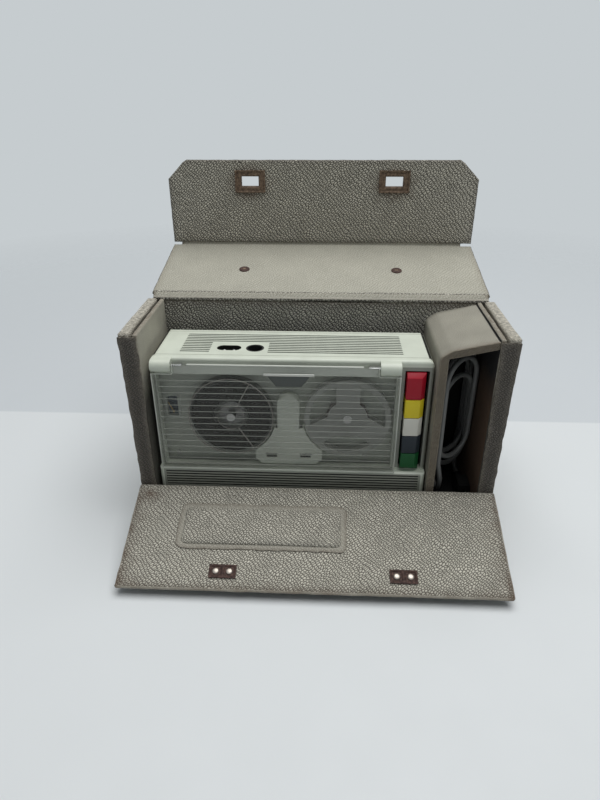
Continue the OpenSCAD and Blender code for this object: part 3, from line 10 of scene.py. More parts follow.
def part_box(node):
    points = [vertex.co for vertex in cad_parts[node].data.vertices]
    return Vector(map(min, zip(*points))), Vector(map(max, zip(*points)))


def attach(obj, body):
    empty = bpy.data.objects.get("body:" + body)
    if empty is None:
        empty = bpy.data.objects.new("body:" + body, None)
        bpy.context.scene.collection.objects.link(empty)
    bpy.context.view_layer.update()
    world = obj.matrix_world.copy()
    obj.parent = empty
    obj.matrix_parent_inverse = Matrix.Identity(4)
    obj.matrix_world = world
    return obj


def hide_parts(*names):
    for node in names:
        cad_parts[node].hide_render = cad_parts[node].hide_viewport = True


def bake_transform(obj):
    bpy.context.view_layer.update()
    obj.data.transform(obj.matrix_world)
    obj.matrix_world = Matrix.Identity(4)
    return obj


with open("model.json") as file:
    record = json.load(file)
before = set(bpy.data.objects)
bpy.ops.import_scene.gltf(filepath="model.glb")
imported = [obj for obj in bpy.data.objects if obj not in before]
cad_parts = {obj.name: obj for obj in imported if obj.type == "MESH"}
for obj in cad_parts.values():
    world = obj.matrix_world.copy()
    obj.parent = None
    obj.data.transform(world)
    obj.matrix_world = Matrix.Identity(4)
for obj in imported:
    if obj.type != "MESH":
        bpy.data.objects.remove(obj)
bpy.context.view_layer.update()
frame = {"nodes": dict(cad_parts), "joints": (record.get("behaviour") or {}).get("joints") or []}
nodes = frame["nodes"]
joints = {j["name"]: j for j in frame["joints"]}
MM = 0.001


# Places: every length is in millimetres until a mesh is made
def box(node):
    low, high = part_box(node)
    return low / MM, high / MM


class Place:
    """A board's own frame: x across, a along it from its hinge line, u out of its inner face."""

    def __init__(self, joint, angle, side):
        _, self.y, self.z = (p / MM for p in joints[joint]["pos_m"])
        t, n = math.radians(angle), math.radians(angle + 90 * side)
        self.along, self.up = (math.cos(t), math.sin(t)), (math.cos(n), math.sin(n))

    def __call__(self, x, a, u):
        y = self.y + a * self.along[0] + u * self.up[0]
        return (x, y, self.z + a * self.along[1] + u * self.up[1])


def shifted(place, x, a, u):
    """A place with its origin moved within its own frame."""
    return lambda p, q, h: place(x + p, a + q, u + h)


flap_slope = -joints["flap_fold"]["range_deg"][0] - 90
cover_tilt = 180 + joints["cover_fold"]["range_deg"][0]
tip_angle = cover_tilt + joints["tip_fold"]["range_deg"][1]
FLAP = Place("flap_fold", 180 + flap_slope, -1)
COVER = Place("cover_fold", cover_tilt, 1)
TIP = Place("tip_fold", tip_angle, 1)
BEZEL_D = 8.0
REC = box("front_bezel")[0]
REC.y = box("front_bezel")[1].y - BEZEL_D
REC_SIZE = box("cabinet")[1] - REC


def rec(u, v, w):
    """Point on the recorder: u from its left side, v behind its rim, w above its lower side."""
    return (REC.x + u, REC.y + v, REC.z + w)


# Materials: colours are written as sRGB, noise scales per metre or, on leather, per millimetre
DRIFTS = ((0.045, 7.0), (0.35, 1.1))  # scale and reach of the waves that bend rows of pebbles
DISORDER, BLOTS, PATCHES, PORES = 0.62, 0.03, 0.3, 2.5
MOTTLE, GLOSS, TEXTURE, SCABS = 34.0, 120.0, 1800.0, 420.0


def srgb(*c):
    return tuple(((x / 255 + 0.055) / 1.055) ** 2.4 if x > 10 else x / 3295 for x in c) + (1.0,)


def darker(colour, share):
    return tuple(c * share for c in colour[:3]) + (1.0,)


class Nodes:
    """The nodes of a material or world, with short ways to add some."""

    def __init__(self, owner):
        owner.use_nodes = True
        self.tree = owner.node_tree

    def add(self, kind, inputs=None, **props):
        n = self.tree.nodes.new("ShaderNode" + kind)
        for key, value in props.items():
            setattr(n, key, value)
        for key, value in (inputs or {}).items():
            self.put(n.inputs[key], value)
        return n

    def put(self, socket, value):
        if isinstance(value, bpy.types.NodeSocket):
            self.tree.links.new(value, socket)
        else:
            socket.default_value = value

    def math(self, op, a, b):
        return self.add("Math", {0: a, 1: b}, operation=op).outputs[0]


class Mat(Nodes):
    """A material under construction."""

    def __init__(self, name, **sockets):
        self.m = bpy.data.materials.new(name)
        super().__init__(self.m)
        self.shader = self.tree.nodes["Principled BSDF"]
        for key, value in sockets.items():
            self.set(key.replace("_", " "), value)

    def set(self, socket, value):
        self.put(self.shader.inputs[socket], value)

    def coords(self, scale=(1, 1, 1), turn=(0, 0, 0)):
        c = self.add("TexCoord").outputs["Object"]
        return self.add("Mapping", {"Vector": c, "Scale": scale, "Rotation": turn}).outputs[0]

    def attribute(self, name, output="Fac"):
        return self.add("Attribute", attribute_name=name).outputs[output]

    def noise(self, scale, detail=3.0, rough=0.55, vector=None, output=0):
        vector = vector or self.coords()
        inputs = {"Vector": vector, "Scale": scale, "Detail": detail, "Roughness": rough}
        return self.add("TexNoise", inputs).outputs[output]

    def ramp(self, value, *stops):
        n = self.add("ValToRGB", {"Fac": value})
        e = n.color_ramp.elements
        while len(e) < len(stops):
            e.new(0.5)
        for k, (at, colour) in enumerate(stops):
            e[k].position = at
            e[k].color = colour if hasattr(colour, "__len__") else (colour, colour, colour, 1)
        return n.outputs[0]

    def mix(self, factor, a, b, blend="MIX"):
        n = self.add("Mix", data_type="RGBA", blend_type=blend)
        for socket, value in zip((n.inputs[0], n.inputs[6], n.inputs[7]), (factor, a, b)):
            self.put(socket, value)
        return n.outputs[2]

    def vector(self, op, a, b):
        return self.add("VectorMath", {0: a, 1: b}, operation=op).outputs[0]

    def inside(self, low, high):
        """One inside a box of the frame between two corners in millimetres, nought outside it."""
        xyz = self.add("SeparateXYZ", {0: self.add("TexCoord").outputs["Object"]})
        total = 1.0
        for k, at in enumerate(xyz.outputs):
            for test, end in (("GREATER_THAN", low), ("LESS_THAN", high)):
                total = self.math("MULTIPLY", total, self.math(test, at, end[k] * MM))
        return total

    def bump(self, height, strength, distance):
        inputs = {"Height": height, "Strength": strength, "Distance": distance * MM}
        self.set("Normal", self.add("Bump", inputs).outputs[0])


def leather(name, light, dark, edge, pebble=(3.1, 1.8, 1.0), rough=0.42, stain=0.15, turn=0.72,
            soil_and_shade=(92, 70, 52)):
    """Leatherette on a mesh's own grain coordinates: wavy rows of pebbles, blots, worn edges.

    A pebble is its length, width and relief. The mesh's "wear" brings in the edge colour, and
    its "stain" the soil colour: real soil on most leather, painted shade on the wall lining.
    """
    light, dark, edge, soil_and_shade = (srgb(*c) for c in (light, dark, edge, soil_and_shade))
    m = Mat(name)
    grain = m.attribute("grain", "Vector")
    half = (0.5, 0.5, 0.5)
    for scale, reach in DRIFTS:
        drift = m.vector("SUBTRACT", m.noise(scale, 1.0, vector=grain, output=1), half)
        grain = m.vector("ADD", grain, m.vector("MULTIPLY", drift, (reach, reach, 0.0)))
    turned = m.add("Mapping", {"Vector": grain, "Rotation": (0, 0, turn)}).outputs[0]
    rows = m.vector("MULTIPLY", turned, (1 / pebble[0], 1 / pebble[1], 1.0))
    cells = m.add("TexVoronoi", {"Vector": rows, "Scale": 1.0, "Randomness": DISORDER},
                  voronoi_dimensions="2D", feature="DISTANCE_TO_EDGE").outputs["Distance"]
    height = m.ramp(cells, (0.0, 0.0), (0.18, 0.5), (0.5, 1.0))
    # Light colour on the pebbles' tops and dark in the valleys: their own tone, with painted
    # highlight on the tops and painted shade in the valleys.
    tint = m.mix(m.ramp(cells, (0.03, 0.0), (0.25, 1.0)), dark, light)
    blots = m.ramp(m.noise(BLOTS, 5.0, vector=grain), (0.35, 1.0), (0.72, 1 - stain))
    tint = m.mix(1.0, tint, blots, "MULTIPLY")
    patchy = m.ramp(m.noise(PATCHES, 6.0, vector=grain), (0.3, 0.25), (0.65, 1.0))
    tint = m.mix(m.math("MULTIPLY", m.attribute("wear"), patchy), tint, edge)
    m.set("Base Color", m.mix(m.attribute("stain"), tint, soil_and_shade))
    m.set("Roughness", m.ramp(height, (0.0, min(1.0, rough + 0.25)), (1.0, rough)))
    fine = m.math("MULTIPLY", m.noise(PORES, 2.0, vector=grain), 0.15)
    m.bump(m.math("ADD", height, fine), pebble[2], 1.0)
    return m.m


def plastic(name, colour, rough=0.42, shade=0.06, relief=0.05, inner=(), **sockets):
    """Moulded plastic, faintly mottled, with uneven gloss, and other colours inside boxes (painted
    shade on the housing and bezel).
    """
    m = Mat(name, **sockets)
    colour = srgb(*colour)
    deep = darker(colour, 1 - shade * 2.2)
    tint = m.mix(m.ramp(m.noise(MOTTLE, 6.0), (0.42, 0.0), (0.75, 1.0)), colour, deep)
    for low, high, other in inner:
        tint = m.mix(m.inside(low, high), tint, srgb(*other))
    m.set("Base Color", tint)
    gloss = m.noise(GLOSS, 4.0)
    m.set("Roughness", m.ramp(gloss, (0.3, rough), (0.75, min(1.0, rough + 0.16))))
    m.bump(m.noise(TEXTURE, 2.0), relief, 0.4)
    return m.m


def metal(name, colour, rough, grain=300.0):
    """Metal with fine scratches drawn along one direction."""
    m = Mat(name, Metallic=1.0)
    colour = srgb(*colour)
    lines = m.noise(1.0, 4.0, vector=m.coords((grain * 0.08, grain, grain), (0.2, 0.1, 0.4)))
    m.set("Base Color", m.mix(lines, darker(colour, 0.8), colour))
    m.set("Roughness", m.ramp(lines, (0.3, rough), (0.7, rough + 0.12)))
    m.bump(lines, 0.06, 0.3)
    return m.m


def rust(name, *tones):
    """Plated steel gone brown, with scabs and pale specks: its low, middle and high tones."""
    m = Mat(name, Metallic=0.25)
    scabs = m.noise(SCABS, 8.0, 0.7)
    stops = zip((0.3, 0.5, 0.72), (srgb(*c) for c in tones))
    m.set("Base Color", m.ramp(scabs, *stops))
    m.set("Roughness", m.ramp(scabs, (0.3, 0.85), (0.8, 0.5)))
    m.bump(scabs, 0.5, 0.5)
    return m.m


EDGE, CLOTH_EDGE, IVORY = (84, 74, 62), (120, 110, 96), (210, 216, 201)
coarse = {"pebble": (3.4, 2.0, 1.0), "turn": -0.72}
cloth = {"pebble": (2.2, 1.4, 0.25), "rough": 0.6, "stain": 0.2}
leather_out = leather("leatherette", (224, 220, 205), (96, 92, 82), EDGE)
# The tip and back panel have near-black valleys, painted shade of their coarser relief; the back
# panel's lower light colour is painted shade inside the box.
leather_tip = leather("leatherette_tip", (222, 217, 200), (54, 51, 44), (72, 62, 52), **coarse)
leather_back = leather("leatherette_shaded", (196, 193, 182), (10, 10, 9), EDGE, **coarse)
leather_side = leather("leatherette_side", (112, 106, 94), (64, 60, 52), (218, 212, 196))
leather_skin = leather("leatherette_skin", (94, 88, 79), (50, 46, 40), (128, 121, 109))
lining = leather("lining", (189, 187, 173), (148, 145, 131), (126, 116, 98), (3.0, 1.8, 0.3),
                 0.6, 0.1)
lining_side = leather("lining_side", (166, 163, 150), (136, 132, 119), CLOTH_EDGE, **cloth)
# The wall lining's near-black soil colour is painted shade, laid beside the recorder by its stain.
lining_wall = leather("lining_wall", (190, 187, 173), (160, 156, 142), CLOTH_EDGE, **cloth,
                      soil_and_shade=(26, 24, 20))
raw_edge = leather("raw_edge", (122, 112, 96), (70, 62, 52), (150, 142, 126), (2.0, 1.2, 0.4),
                   0.75, 0.35)
# Near-black skin for the compartment's inside and back, the right liner's inner face and the case
# floor.
dark_lining = leather("dark_lining", (22, 21, 20), (9, 9, 9), (34, 31, 28), (2.4, 1.5, 0.3), 0.8)
flap_rim = leather("flap_rim", (190, 186, 172), (162, 158, 145), (170, 164, 150), (2.8, 1.8, 0.4),
                   0.5, 0.1)
pad_edge = leather("pad_edge", (176, 172, 159), (146, 142, 130), (104, 95, 82), (2.8, 1.8, 0.45),
                   0.5, 0.1)
fray = leather("torn_edge", (222, 218, 204), (176, 170, 154), (232, 228, 216), (1.2, 0.8, 0.5), 0.8)
strap_skin = leather("strap_skin", (146, 142, 130), (96, 92, 82), (70, 60, 48), (2.6, 1.7, 0.4))
thread = plastic("thread", (196, 188, 168), 0.8, shade=0.1, relief=0.4)
rusty = rust("rusty_steel", (60, 50, 41), (108, 89, 72), (146, 124, 102))
rusty_dark = rust("rusty_dark", (40, 28, 26), (64, 44, 38), (98, 72, 60))
nickel = metal("nickel", (188, 178, 168), 0.38, 420.0)
steel = metal("steel", (196, 196, 192), 0.28)
chrome = metal("chrome", (196, 198, 196), 0.22, 200.0)
worn_chrome = metal("worn_chrome", (190, 190, 184), 0.36, 200.0)
brass = metal("brass", (190, 160, 98), 0.32)
SHELL_WALL, SHELL_ROOF = 1.5, 0.45
GRILLE_PROUD, GRILLE_TOP, GRILLE_SIDE, BAR_SIDE = 7.0, 46, 5.9, 4
KEYS_U, KEYS_LOW, KEYS_TOP = 231, 49.5, REC_SIZE.z - 6
METER_U, METER_W, METER_D, METER_HALF = 15.0, 107.3, 40, (5.2, 10.5)
# Painted shade: near-black inside the housing, seen through the vent slots and at their bottoms.
shell_inner_shade = (rec(SHELL_WALL, 2, SHELL_WALL),
               rec(REC_SIZE.x - SHELL_WALL, REC_SIZE.y - SHELL_WALL, REC_SIZE.z - SHELL_ROOF),
               (22, 21, 18))
# Painted shade: the grille's bars a darker ivory, and near-black inside its slots.
grille_bar_shade = (rec(BAR_SIDE, -GRILLE_PROUD - 1, 2), rec(REC_SIZE.x - BAR_SIDE, 0, GRILLE_TOP),
               (150, 153, 142))
grille_inner_shade = (rec(GRILLE_SIDE, 0.6 - GRILLE_PROUD, 3),
                rec(REC_SIZE.x - GRILLE_SIDE, BEZEL_D + 1, GRILLE_TOP), (28, 28, 26))
# Painted shade: a darker bezel front beside the keys, above the ledge.
key_side_shade = (rec(KEYS_U, -2, KEYS_LOW), rec(REC_SIZE.x + 1, BEZEL_D - 1, KEYS_TOP), (140, 143, 133))
dial = (rec(METER_U - METER_HALF[0], 0, METER_W - METER_HALF[1]),
        rec(METER_U + METER_HALF[0], METER_D, METER_W + METER_HALF[1]), (40, 52, 66))
shell = plastic("housing", IVORY, 0.36, inner=[shell_inner_shade])
bezel = plastic("bezel", IVORY, 0.36, inner=[grille_bar_shade, grille_inner_shade, key_side_shade])
trim = plastic("housing_parts", (230, 235, 221), 0.38)
seam = plastic("seam", (150, 150, 138), 0.6)
deck = plastic("deck", (196, 200, 188), 0.45)
black = plastic("black_plastic", (24, 24, 24), 0.4)
rubber = plastic("rubber", (32, 32, 32), 0.75, relief=0.15)
cable_skin = plastic("cable", (124, 125, 123), 0.45, relief=0.1)
tape = plastic("tape", (18, 14, 14), 0.45, Specular_IOR_Level=0.25)
leader = plastic("tape_leader", (104, 98, 92), 0.5)
pale_reel = plastic("reel_pale", (200, 202, 194), 0.35, Alpha=0.6)
clear_reel = plastic("reel_clear", (52, 48, 46), 0.25, Alpha=0.22)
# Painted highlight on the left reel's rim, hub and spokes.
reel_highlight = plastic("reel_highlight", (186, 180, 172), 0.3, Alpha=0.6)
lid_clear = plastic("lid_clear", (104, 106, 100), 0.16, Alpha=0.17)
# Painted highlights and reflection on the lid's ribs, rims and top strip.
lid_highlight = plastic("lid_highlight", (206, 210, 200), 0.3, Alpha=0.42)
lid_edge_highlight = plastic("lid_edge_highlight", (218, 222, 212), 0.3, Alpha=0.85)
badge = plastic("badge", (76, 80, 77), 0.4, relief=0.25)
board = plastic("board", (140, 104, 52), 0.5)
iron = plastic("iron", (70, 70, 70), 0.6)
meter = plastic("meter", (190, 194, 184), 0.35, inner=[dial])

# Mesh builders
MERGE = 1e-6
SHARP, HARD = math.radians(30), math.radians(32)
# Reach and fade of a board's uneven edge, size of its waves, and how far grain wraps its rim
LOOSE, LOOSE_FADE, WAVE, WRAP = 9, 3.0, 38, 15
BAND_T, BAND_STEP, BAND_WAVE, BAND_WORN, BAND_THIN = 1.0, 4.0, 0.2, 2.0, 0.4


def show(name, data):
    o = bpy.data.objects.new(name, data)
    bpy.context.scene.collection.objects.link(o)
    return o


def settle(name, data, body, replaces=()):
    """A piece shown, that rides on a body if it is given one, with the CAD parts it replaces
    hidden.
    """
    o = show(name, data)
    if body:
        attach(o, body)
    if replaces:
        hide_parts(*replaces)
    return o


def finish_mesh(mesh, mats):
    for mat in mats:
        mesh.materials.append(mat)
    mesh.polygons.foreach_set("use_smooth", [True] * len(mesh.polygons))


def piece(name, verts, faces, mats, body=None, face_mats=None, attrs=None, replaces=()):
    """A smooth mesh from millimetres, with a material for each face and values for each point."""
    mesh = bpy.data.meshes.new(name)
    mesh.from_pydata([Vector(v) * MM for v in verts], [], faces)
    finish_mesh(mesh, mats)
    if face_mats:
        mesh.polygons.foreach_set("material_index", face_mats)
    for key, values in (attrs or {}).items():
        if key == "grain":
            flat = [c for v in values for c in (v[0], v[1], 0.0)]
            mesh.attributes.new(key, "FLOAT_VECTOR", "POINT").data.foreach_set("vector", flat)
        else:
            mesh.attributes.new(key, "FLOAT", "POINT").data.foreach_set("value", values)
    return settle(name, mesh, body, replaces)


def made_of(bm, name, mats, body, replaces=()):
    """A smooth piece from a bmesh, which is used up."""
    mesh = bpy.data.meshes.new(name)
    bm.to_mesh(mesh)
    bm.free()
    finish_mesh(mesh, mats)
    return settle(name, mesh, body, replaces)


def outward(o, merge=False):
    """Faces of a closed mesh turned to look outwards, after equal points are merged if asked."""
    bm = bmesh.new()
    bm.from_mesh(o.data)
    if merge:
        bmesh.ops.remove_doubles(bm, verts=bm.verts, dist=MERGE)
    bmesh.ops.recalc_face_normals(bm, faces=bm.faces)
    bm.to_mesh(o.data)
    bm.free()
    return o


def grid(rings, n, around=False, across=False):
    """Faces between rings of n points: the last ring may join the first, and each ring close."""
    faces = []
    for i in range(rings if around else rings - 1):
        a, b = i * n, (i + 1) % rings * n
        for k in range(n if across else n - 1):
            j = (k + 1) % n
            faces.append((a + k, b + k, b + j, a + j))
    return faces


def encased(cells, count):
    """Faces of a closed shell: cells, their copies count points later, and the sides between."""
    edges = set()
    for c in cells:
        for a, b in zip(c, c[1:] + c[:1]):
            edges.symmetric_difference_update({(a, b)} if (b, a) not in edges else {(b, a)})
    faces = cells + [tuple(k + count for k in reversed(c)) for c in cells]
    return faces + [(b, a, a + count, b + count) for a, b in sorted(edges)]


def clamp(value, high=1.0):
    return max(0.0, min(high, value))


def ease_lines(low, high, step, r):
    """Grid positions from low to high, close together over the rounded edges."""
    near = [r * (1 - math.cos(math.radians(18 * k))) for k in range(5)]
    n = max(1, round((high - low - 2 * r) / step))
    mid = [low + r + (high - low - 2 * r) * k / n for k in range(n + 1)]
    return [low + d for d in near] + mid + [high - d for d in reversed(near)]


def fall(d, r):
    """How far a round edge of radius r has dropped at a distance d from it."""
    return r - math.sqrt(max(0.0, r * r - (r - d) ** 2)) if d < r else 0.0


def ripple(x, y, seed, size):
    return noise.noise(Vector((x / size, y / size, seed * 7.31)))


def lengths(points):
    """Distance run along a path at each of its points."""
    run = [0.0]
    for a, b in zip(points, points[1:]):
        run.append(run[-1] + (b - a).length)
    return run


def panel(name, place, xs, ys, thick, mats, slot, body, r=9.0, shape=None, holes=(), wave=0.25,
          rough=0.25, step=6.0, seed=1, replaces=(), worn=4.0, stain=None):
    """A board with round, slightly uneven edges: materials of inner face, outer face and rim."""
    r = min(r, thick / 2 - 0.05)
    us = sorted(set(ease_lines(*xs, step, r) + [k for h in holes for k in h[:2]]))
    vs = sorted(set(ease_lines(*ys, step, r) + [k for h in holes for k in h[2:]]))
    front, back, grains, wear, stains = [], [], [[], []], [], []
    for x in us:
        for v in vs:
            dx, dv = min(x - xs[0], xs[1] - x), min(v - ys[0], ys[1] - v)
            d = min(dx, dv)
            loose = rough * math.exp(-d / LOOSE_FADE) if d < LOOSE else 0.0
            px = x + loose * ripple(x, v, seed, LOOSE)
            pa = (shape(x, v) if shape else v) + loose * ripple(x, v, seed + 3, LOOSE)
            lift = wave * ripple(x, v, seed + 5, WAVE)
            drop = max(fall(dx, r), fall(dv, r))
            front.append(place(px, pa, lift + thick / 2 - drop))
            back.append(place(px, pa, lift - thick / 2 + drop))
            if dx < dv:
                side = (math.copysign(1, 2 * x - xs[0] - xs[1]), 0)
            else:
                side = (0, math.copysign(1, 2 * v - ys[0] - ys[1]))
            for k, off in enumerate((drop, (thick - drop) * math.exp(-d / WRAP))):
                grains[k].append((px + side[0] * off, pa + side[1] * off))
            wear.append(worn(x, v) if callable(worn) else min(1.0, 1.1 * math.exp(-d / worn)))
            stains.append(stain(px, pa) if stain else 0.0)
    cells, rim = [], []
    for cell in grid(len(us), len(vs)):
        i, j = divmod(cell[0], len(vs))
        cx, cv = (us[i] + us[i + 1]) / 2, (vs[j] + vs[j + 1]) / 2
        if not any(h[0] < cx < h[1] and h[2] < cv < h[3] for h in holes):
            cells.append(cell)
            rim.append(min(cx - xs[0], xs[1] - cx, cv - ys[0], ys[1] - cv) < 0.7 * r)
    faces, verts, last = encased(cells, len(front)), front + back, len(mats) - 1
    face_mats = [last if e else 0 for e in rim] + [last if e else min(1, last) for e in rim]
    face_mats += [last] * (len(faces) - len(face_mats))
    used = sorted({k for f in faces for k in f})
    new = {k: i for i, k in enumerate(used)}
    attrs = {"grain": grains[0] + grains[1], "wear": wear * 2, "stain": stains * 2}
    attrs = {key: [values[k] for k in used] for key, values in attrs.items()}
    faces = [tuple(new[k] for k in f) for f in faces]
    return outward(piece(name, [verts[k] for k in used], faces, mats, body, face_mats, attrs,
                         replaces))


def round_corners(xs, ys, r, which=(True, True)):
    """Shape that rounds a panel's corners in its plane, at the low end, the high end or both."""
    def shape(x, v):
        cut = fall(min(x - xs[0], xs[1] - x), r)
        low, high = ys[0] + (cut if which[0] else 0), ys[1] - (cut if which[1] else 0)
        return low + (v - ys[0]) * (high - low) / (ys[1] - ys[0])
    return shape


def band(name, path, xs, mats, slot, ragged, seed, torn=None, kinds=(-1,)):
    """A strip of skin: a path of (y, z) points drawn out along X.

    Its two long edges are ragged, the first may be torn, and kinds are its first rows' materials.
    """
    pts = [Vector((0, y, z)) for y, z in path]
    n, m = max(2, round((xs[1] - xs[0]) / BAND_STEP)), len(pts)
    run = lengths(pts)
    verts, attrs = [], {"grain": [], "wear": []}
    for side in (1, -1):
        for i in range(n + 1):
            x = xs[0] + (xs[1] - xs[0]) * i / n
            for k, p in enumerate(pts):
                ahead = (pts[min(k + 1, m - 1)] - pts[max(k - 1, 0)]).normalized()
                shift, thin = 0.0, 1.0
                if k in (0, m - 1):
                    amount, thin = ragged[0 if k == 0 else 1], BAND_THIN
                    shift = amount * (ripple(x, k, seed, 7) + 0.6 * ripple(x, k, seed + 2, 2.3))
                if k == 0 and torn:
                    shift += torn(x)
                out = side * BAND_T / 2 * thin + BAND_WAVE * ripple(x, 20 * k, seed + 4, 16)
                verts.append(p + ahead * shift + Vector((0, -ahead.z, ahead.y)) * out
                             + Vector((x, 0, 0)))
                attrs["grain"].append((x, run[k]))
                d = min(x - xs[0], xs[1] - x, run[k], run[-1] - run[k])
                attrs["wear"].append(math.exp(-d / BAND_WORN))
    faces = encased(grid(n + 1, m), (n + 1) * m)
    row_mats = [kinds[k] % len(mats) if k < len(kinds) else 0 for k in range(m - 1)]
    face_mats = row_mats * n * 2
    face_mats += [len(mats) - 1] * (len(faces) - len(face_mats))
    return outward(piece(name, verts, faces, mats, None, face_mats, attrs))


def lathe(name, profile, place, mats, body, turns=32, closed=False):
    """A round piece: a profile of (radius, height) points turned about a place's own axis."""
    verts = []
    for i in range(turns):
        t = 2 * math.pi * i / turns
        verts += [place(r * math.cos(t), r * math.sin(t), h) for r, h in profile]
    faces = grid(turns, len(profile), around=True, across=closed)
    return outward(piece(name, verts, faces, mats, body), merge=True)


def bevel(bm, edges, width, segments):
    bmesh.ops.bevel(bm, geom=edges, offset=width, segments=segments, profile=0.5, affect="EDGES",
                    clamp_overlap=True)


def blocks(name, spans, r, place, mats, body, segments=2):
    """Bars with round edges between pairs of opposite corners, in one mesh."""
    bm = bmesh.new()
    for low, high in spans:
        made = bmesh.ops.create_cube(bm, size=1.0)["verts"]
        for v in made:
            v.co = Vector((low[k] + (high[k] - low[k]) * (v.co[k] + 0.5) for k in range(3)))
        bevel(bm, list({e for v in made for e in v.link_edges}), r, segments)
    for v in bm.verts:
        v.co = Vector(place(*v.co)) * MM
    bmesh.ops.recalc_face_normals(bm, faces=bm.faces)
    return made_of(bm, name, mats, body)


def dress(node, mat):
    """A CAD node keeps its shape and takes a procedural material."""
    materials = nodes[node].data.materials
    materials.clear()
    materials.append(mat)


def softened(node, mat, width, body):
    """A copy of a CAD node with its sharp edges rounded, in the node's place."""
    bm = bmesh.new()
    bm.from_mesh(nodes[node].data)
    bmesh.ops.remove_doubles(bm, verts=bm.verts, dist=MERGE)
    bmesh.ops.dissolve_limit(bm, angle_limit=math.radians(1), verts=bm.verts, edges=bm.edges)
    sharp = [e for e in bm.edges if len(e.link_faces) == 2 and e.calc_face_angle(0) > SHARP]
    bevel(bm, sharp, width * MM, 3)
    o = made_of(bm, node + "_soft", [mat], body, (node,))
    o.data.set_sharp_from_angle(angle=HARD)


# Case: boards of the box
def flat_board(node, axis, inward, mats, slot="leatherette", high=None, r=2.4,
               grow=((0, 0, 0), (0, 0, 0)), lean=0.0, **more):
    """A board of the box: its thin axis, and which way along it the inner face looks."""
    low, top = box(node)
    if high is not None:
        top.z = high
    low, top = low + Vector(grow[0]), top + Vector(grow[1])
    k = "xyz".index(axis)
    a, b = [i for i in range(3) if i != k]
    mid, thick = (low[k] + top[k]) / 2, top[k] - low[k]

    def place(x, v, u):
        p = [0, 0, 0]
        p[a], p[b], p[k] = x, v, mid + inward * (u - lean * (v / top[b]) ** 2)
        return tuple(p)

    xs, ys = (low[a], top[a]), (low[b], top[b])
    panel(node + "_board", place, xs, ys, thick, mats, slot, "case", r=r, replaces=(node,),
          shape=round_corners(xs, ys, r), **more)


TONGUE, HALF_W = 3.4, box("back_panel")[1].x
lip_high = box("front_lip")[1].z - TONGUE
back_high = box("back_panel")[1].z - TONGUE
flat_board("back_panel", "y", -1, [leather_back, leather_out], seed=2, high=back_high)
flat_board("base_panel", "z", 1, [leather_back, leather_out], seed=3, r=1.6)
flat_board("base_liner", "z", 1, [dark_lining], "dark_lining", seed=4, r=1.0)
flat_board("front_lip", "y", 1, [leather_back, leather_out], seed=5, high=lip_high, r=1.6)

# Walls: each outer board leans out, and its liner is thinner, lower and set back
LINER_THIN, LINER_BACK, LINER_LOW, LINER_IN, LINER_SHADE_TOP = 2.6, 1.2, 0.8, 157.4, 168.0
SKIN_T, SKIN_TORN, LEAN = 1.1, 3.0, 2.4
wall_low, wall_high = box("left_wall")
front_y = wall_low.y - 0.1
skin_x, skin_z = (LINER_IN, HALF_W), (wall_low.z, wall_high.z - SKIN_TORN)


def top_wear(y, z):
    """Pale wear along a wall's upper edge, torn further down at its front corner."""
    torn = 5.0 * math.exp(-(y - wall_low.y) / 7) * (0.6 + ripple(y, z, 15, 5))
    return clamp(1.25 - (wall_high.z - z - torn) / 2.4)


def liner_painted_shade(y, z):
    """Painted shade beside the recorder, below its upper side."""
    return 0.85 * clamp((LINER_SHADE_TOP - z) / 30 + 0.2 * ripple(y, z, 17, 12))


def skin_place(side):
    """The front of a wall, which leans out with the board behind it."""
    def place(x, v, u):
        lean = LEAN * (v / skin_z[1]) ** 2 * (x - LINER_IN) / (HALF_W - LINER_IN)
        return (-side * (x + lean), front_y + SKIN_T / 2 - u, v)
    return place


for side, inward, inner in (("left", 1, lining_wall), ("right", -1, dark_lining)):
    moved = inward * LINER_THIN
    least, most = min(0, moved), max(0, moved)
    panel(side + "_wall_skin", skin_place(inward), skin_x, skin_z, SKIN_T, [leather_skin],
          "leatherette", "case", r=0.5, shape=round_corners(skin_x, skin_z, 1.2), seed=14 + inward,
          wave=0.05, rough=1.0, step=4, worn=1.0)
    flat_board(side + "_wall", "x", inward, [leather_side, leather_out, leather_side], lean=LEAN,
               grow=((least, SKIN_T, 0), (most, 0, 0)), seed=6 + inward, rough=0.7, worn=top_wear)
    flat_board(side + "_wall_liner", "x", inward, [inner, lining_wall, lining_wall], r=1.8,
               grow=((most, LINER_BACK, 0), (least, 0, -LINER_LOW)), seed=10 + inward, rough=0.7,
               worn=1.2, stain=liner_painted_shade)

# Front flap, top cover and tip flap
FOLD, FLAP_FOLD, COVER_NEAR, CHAMFER = 3.2, 5.0, 0.8, 20.0
FLAP_T, COVER_T, TIP_T = 4.0, 5.0, 4.0
COVER_HALF = box("top_cover")[1].x
FLAP_LEN, TIP_LEN = 107.0, box("tip_flap")[1].z - TIP.z
COVER_LEN = math.hypot(TIP.y - COVER.y, TIP.z - COVER.z)
flap_x, cover_x = (-HALF_W, HALF_W), (-COVER_HALF, COVER_HALF)
flap_a, cover_a, tip_a = (FLAP_FOLD, FLAP_LEN), (COVER_NEAR, COVER_LEN - FOLD), (FOLD, TIP_LEN)
NO_EDGE, WORN_REACH, BLOT, BLOT_SIZE = 1e3, 2.5, (-159.0, 13.0), (9, 5)
LOCK_X, SLOT = 79.0, (10.3, 6.05)
EYELET_A = sum(corner.z for corner in box("eyelet_frames")) / 2 - TIP.z
eyelet_holes = [(s * LOCK_X - SLOT[0], s * LOCK_X + SLOT[0], EYELET_A - SLOT[1], EYELET_A + SLOT[1])
                for s in (-1, 1)]


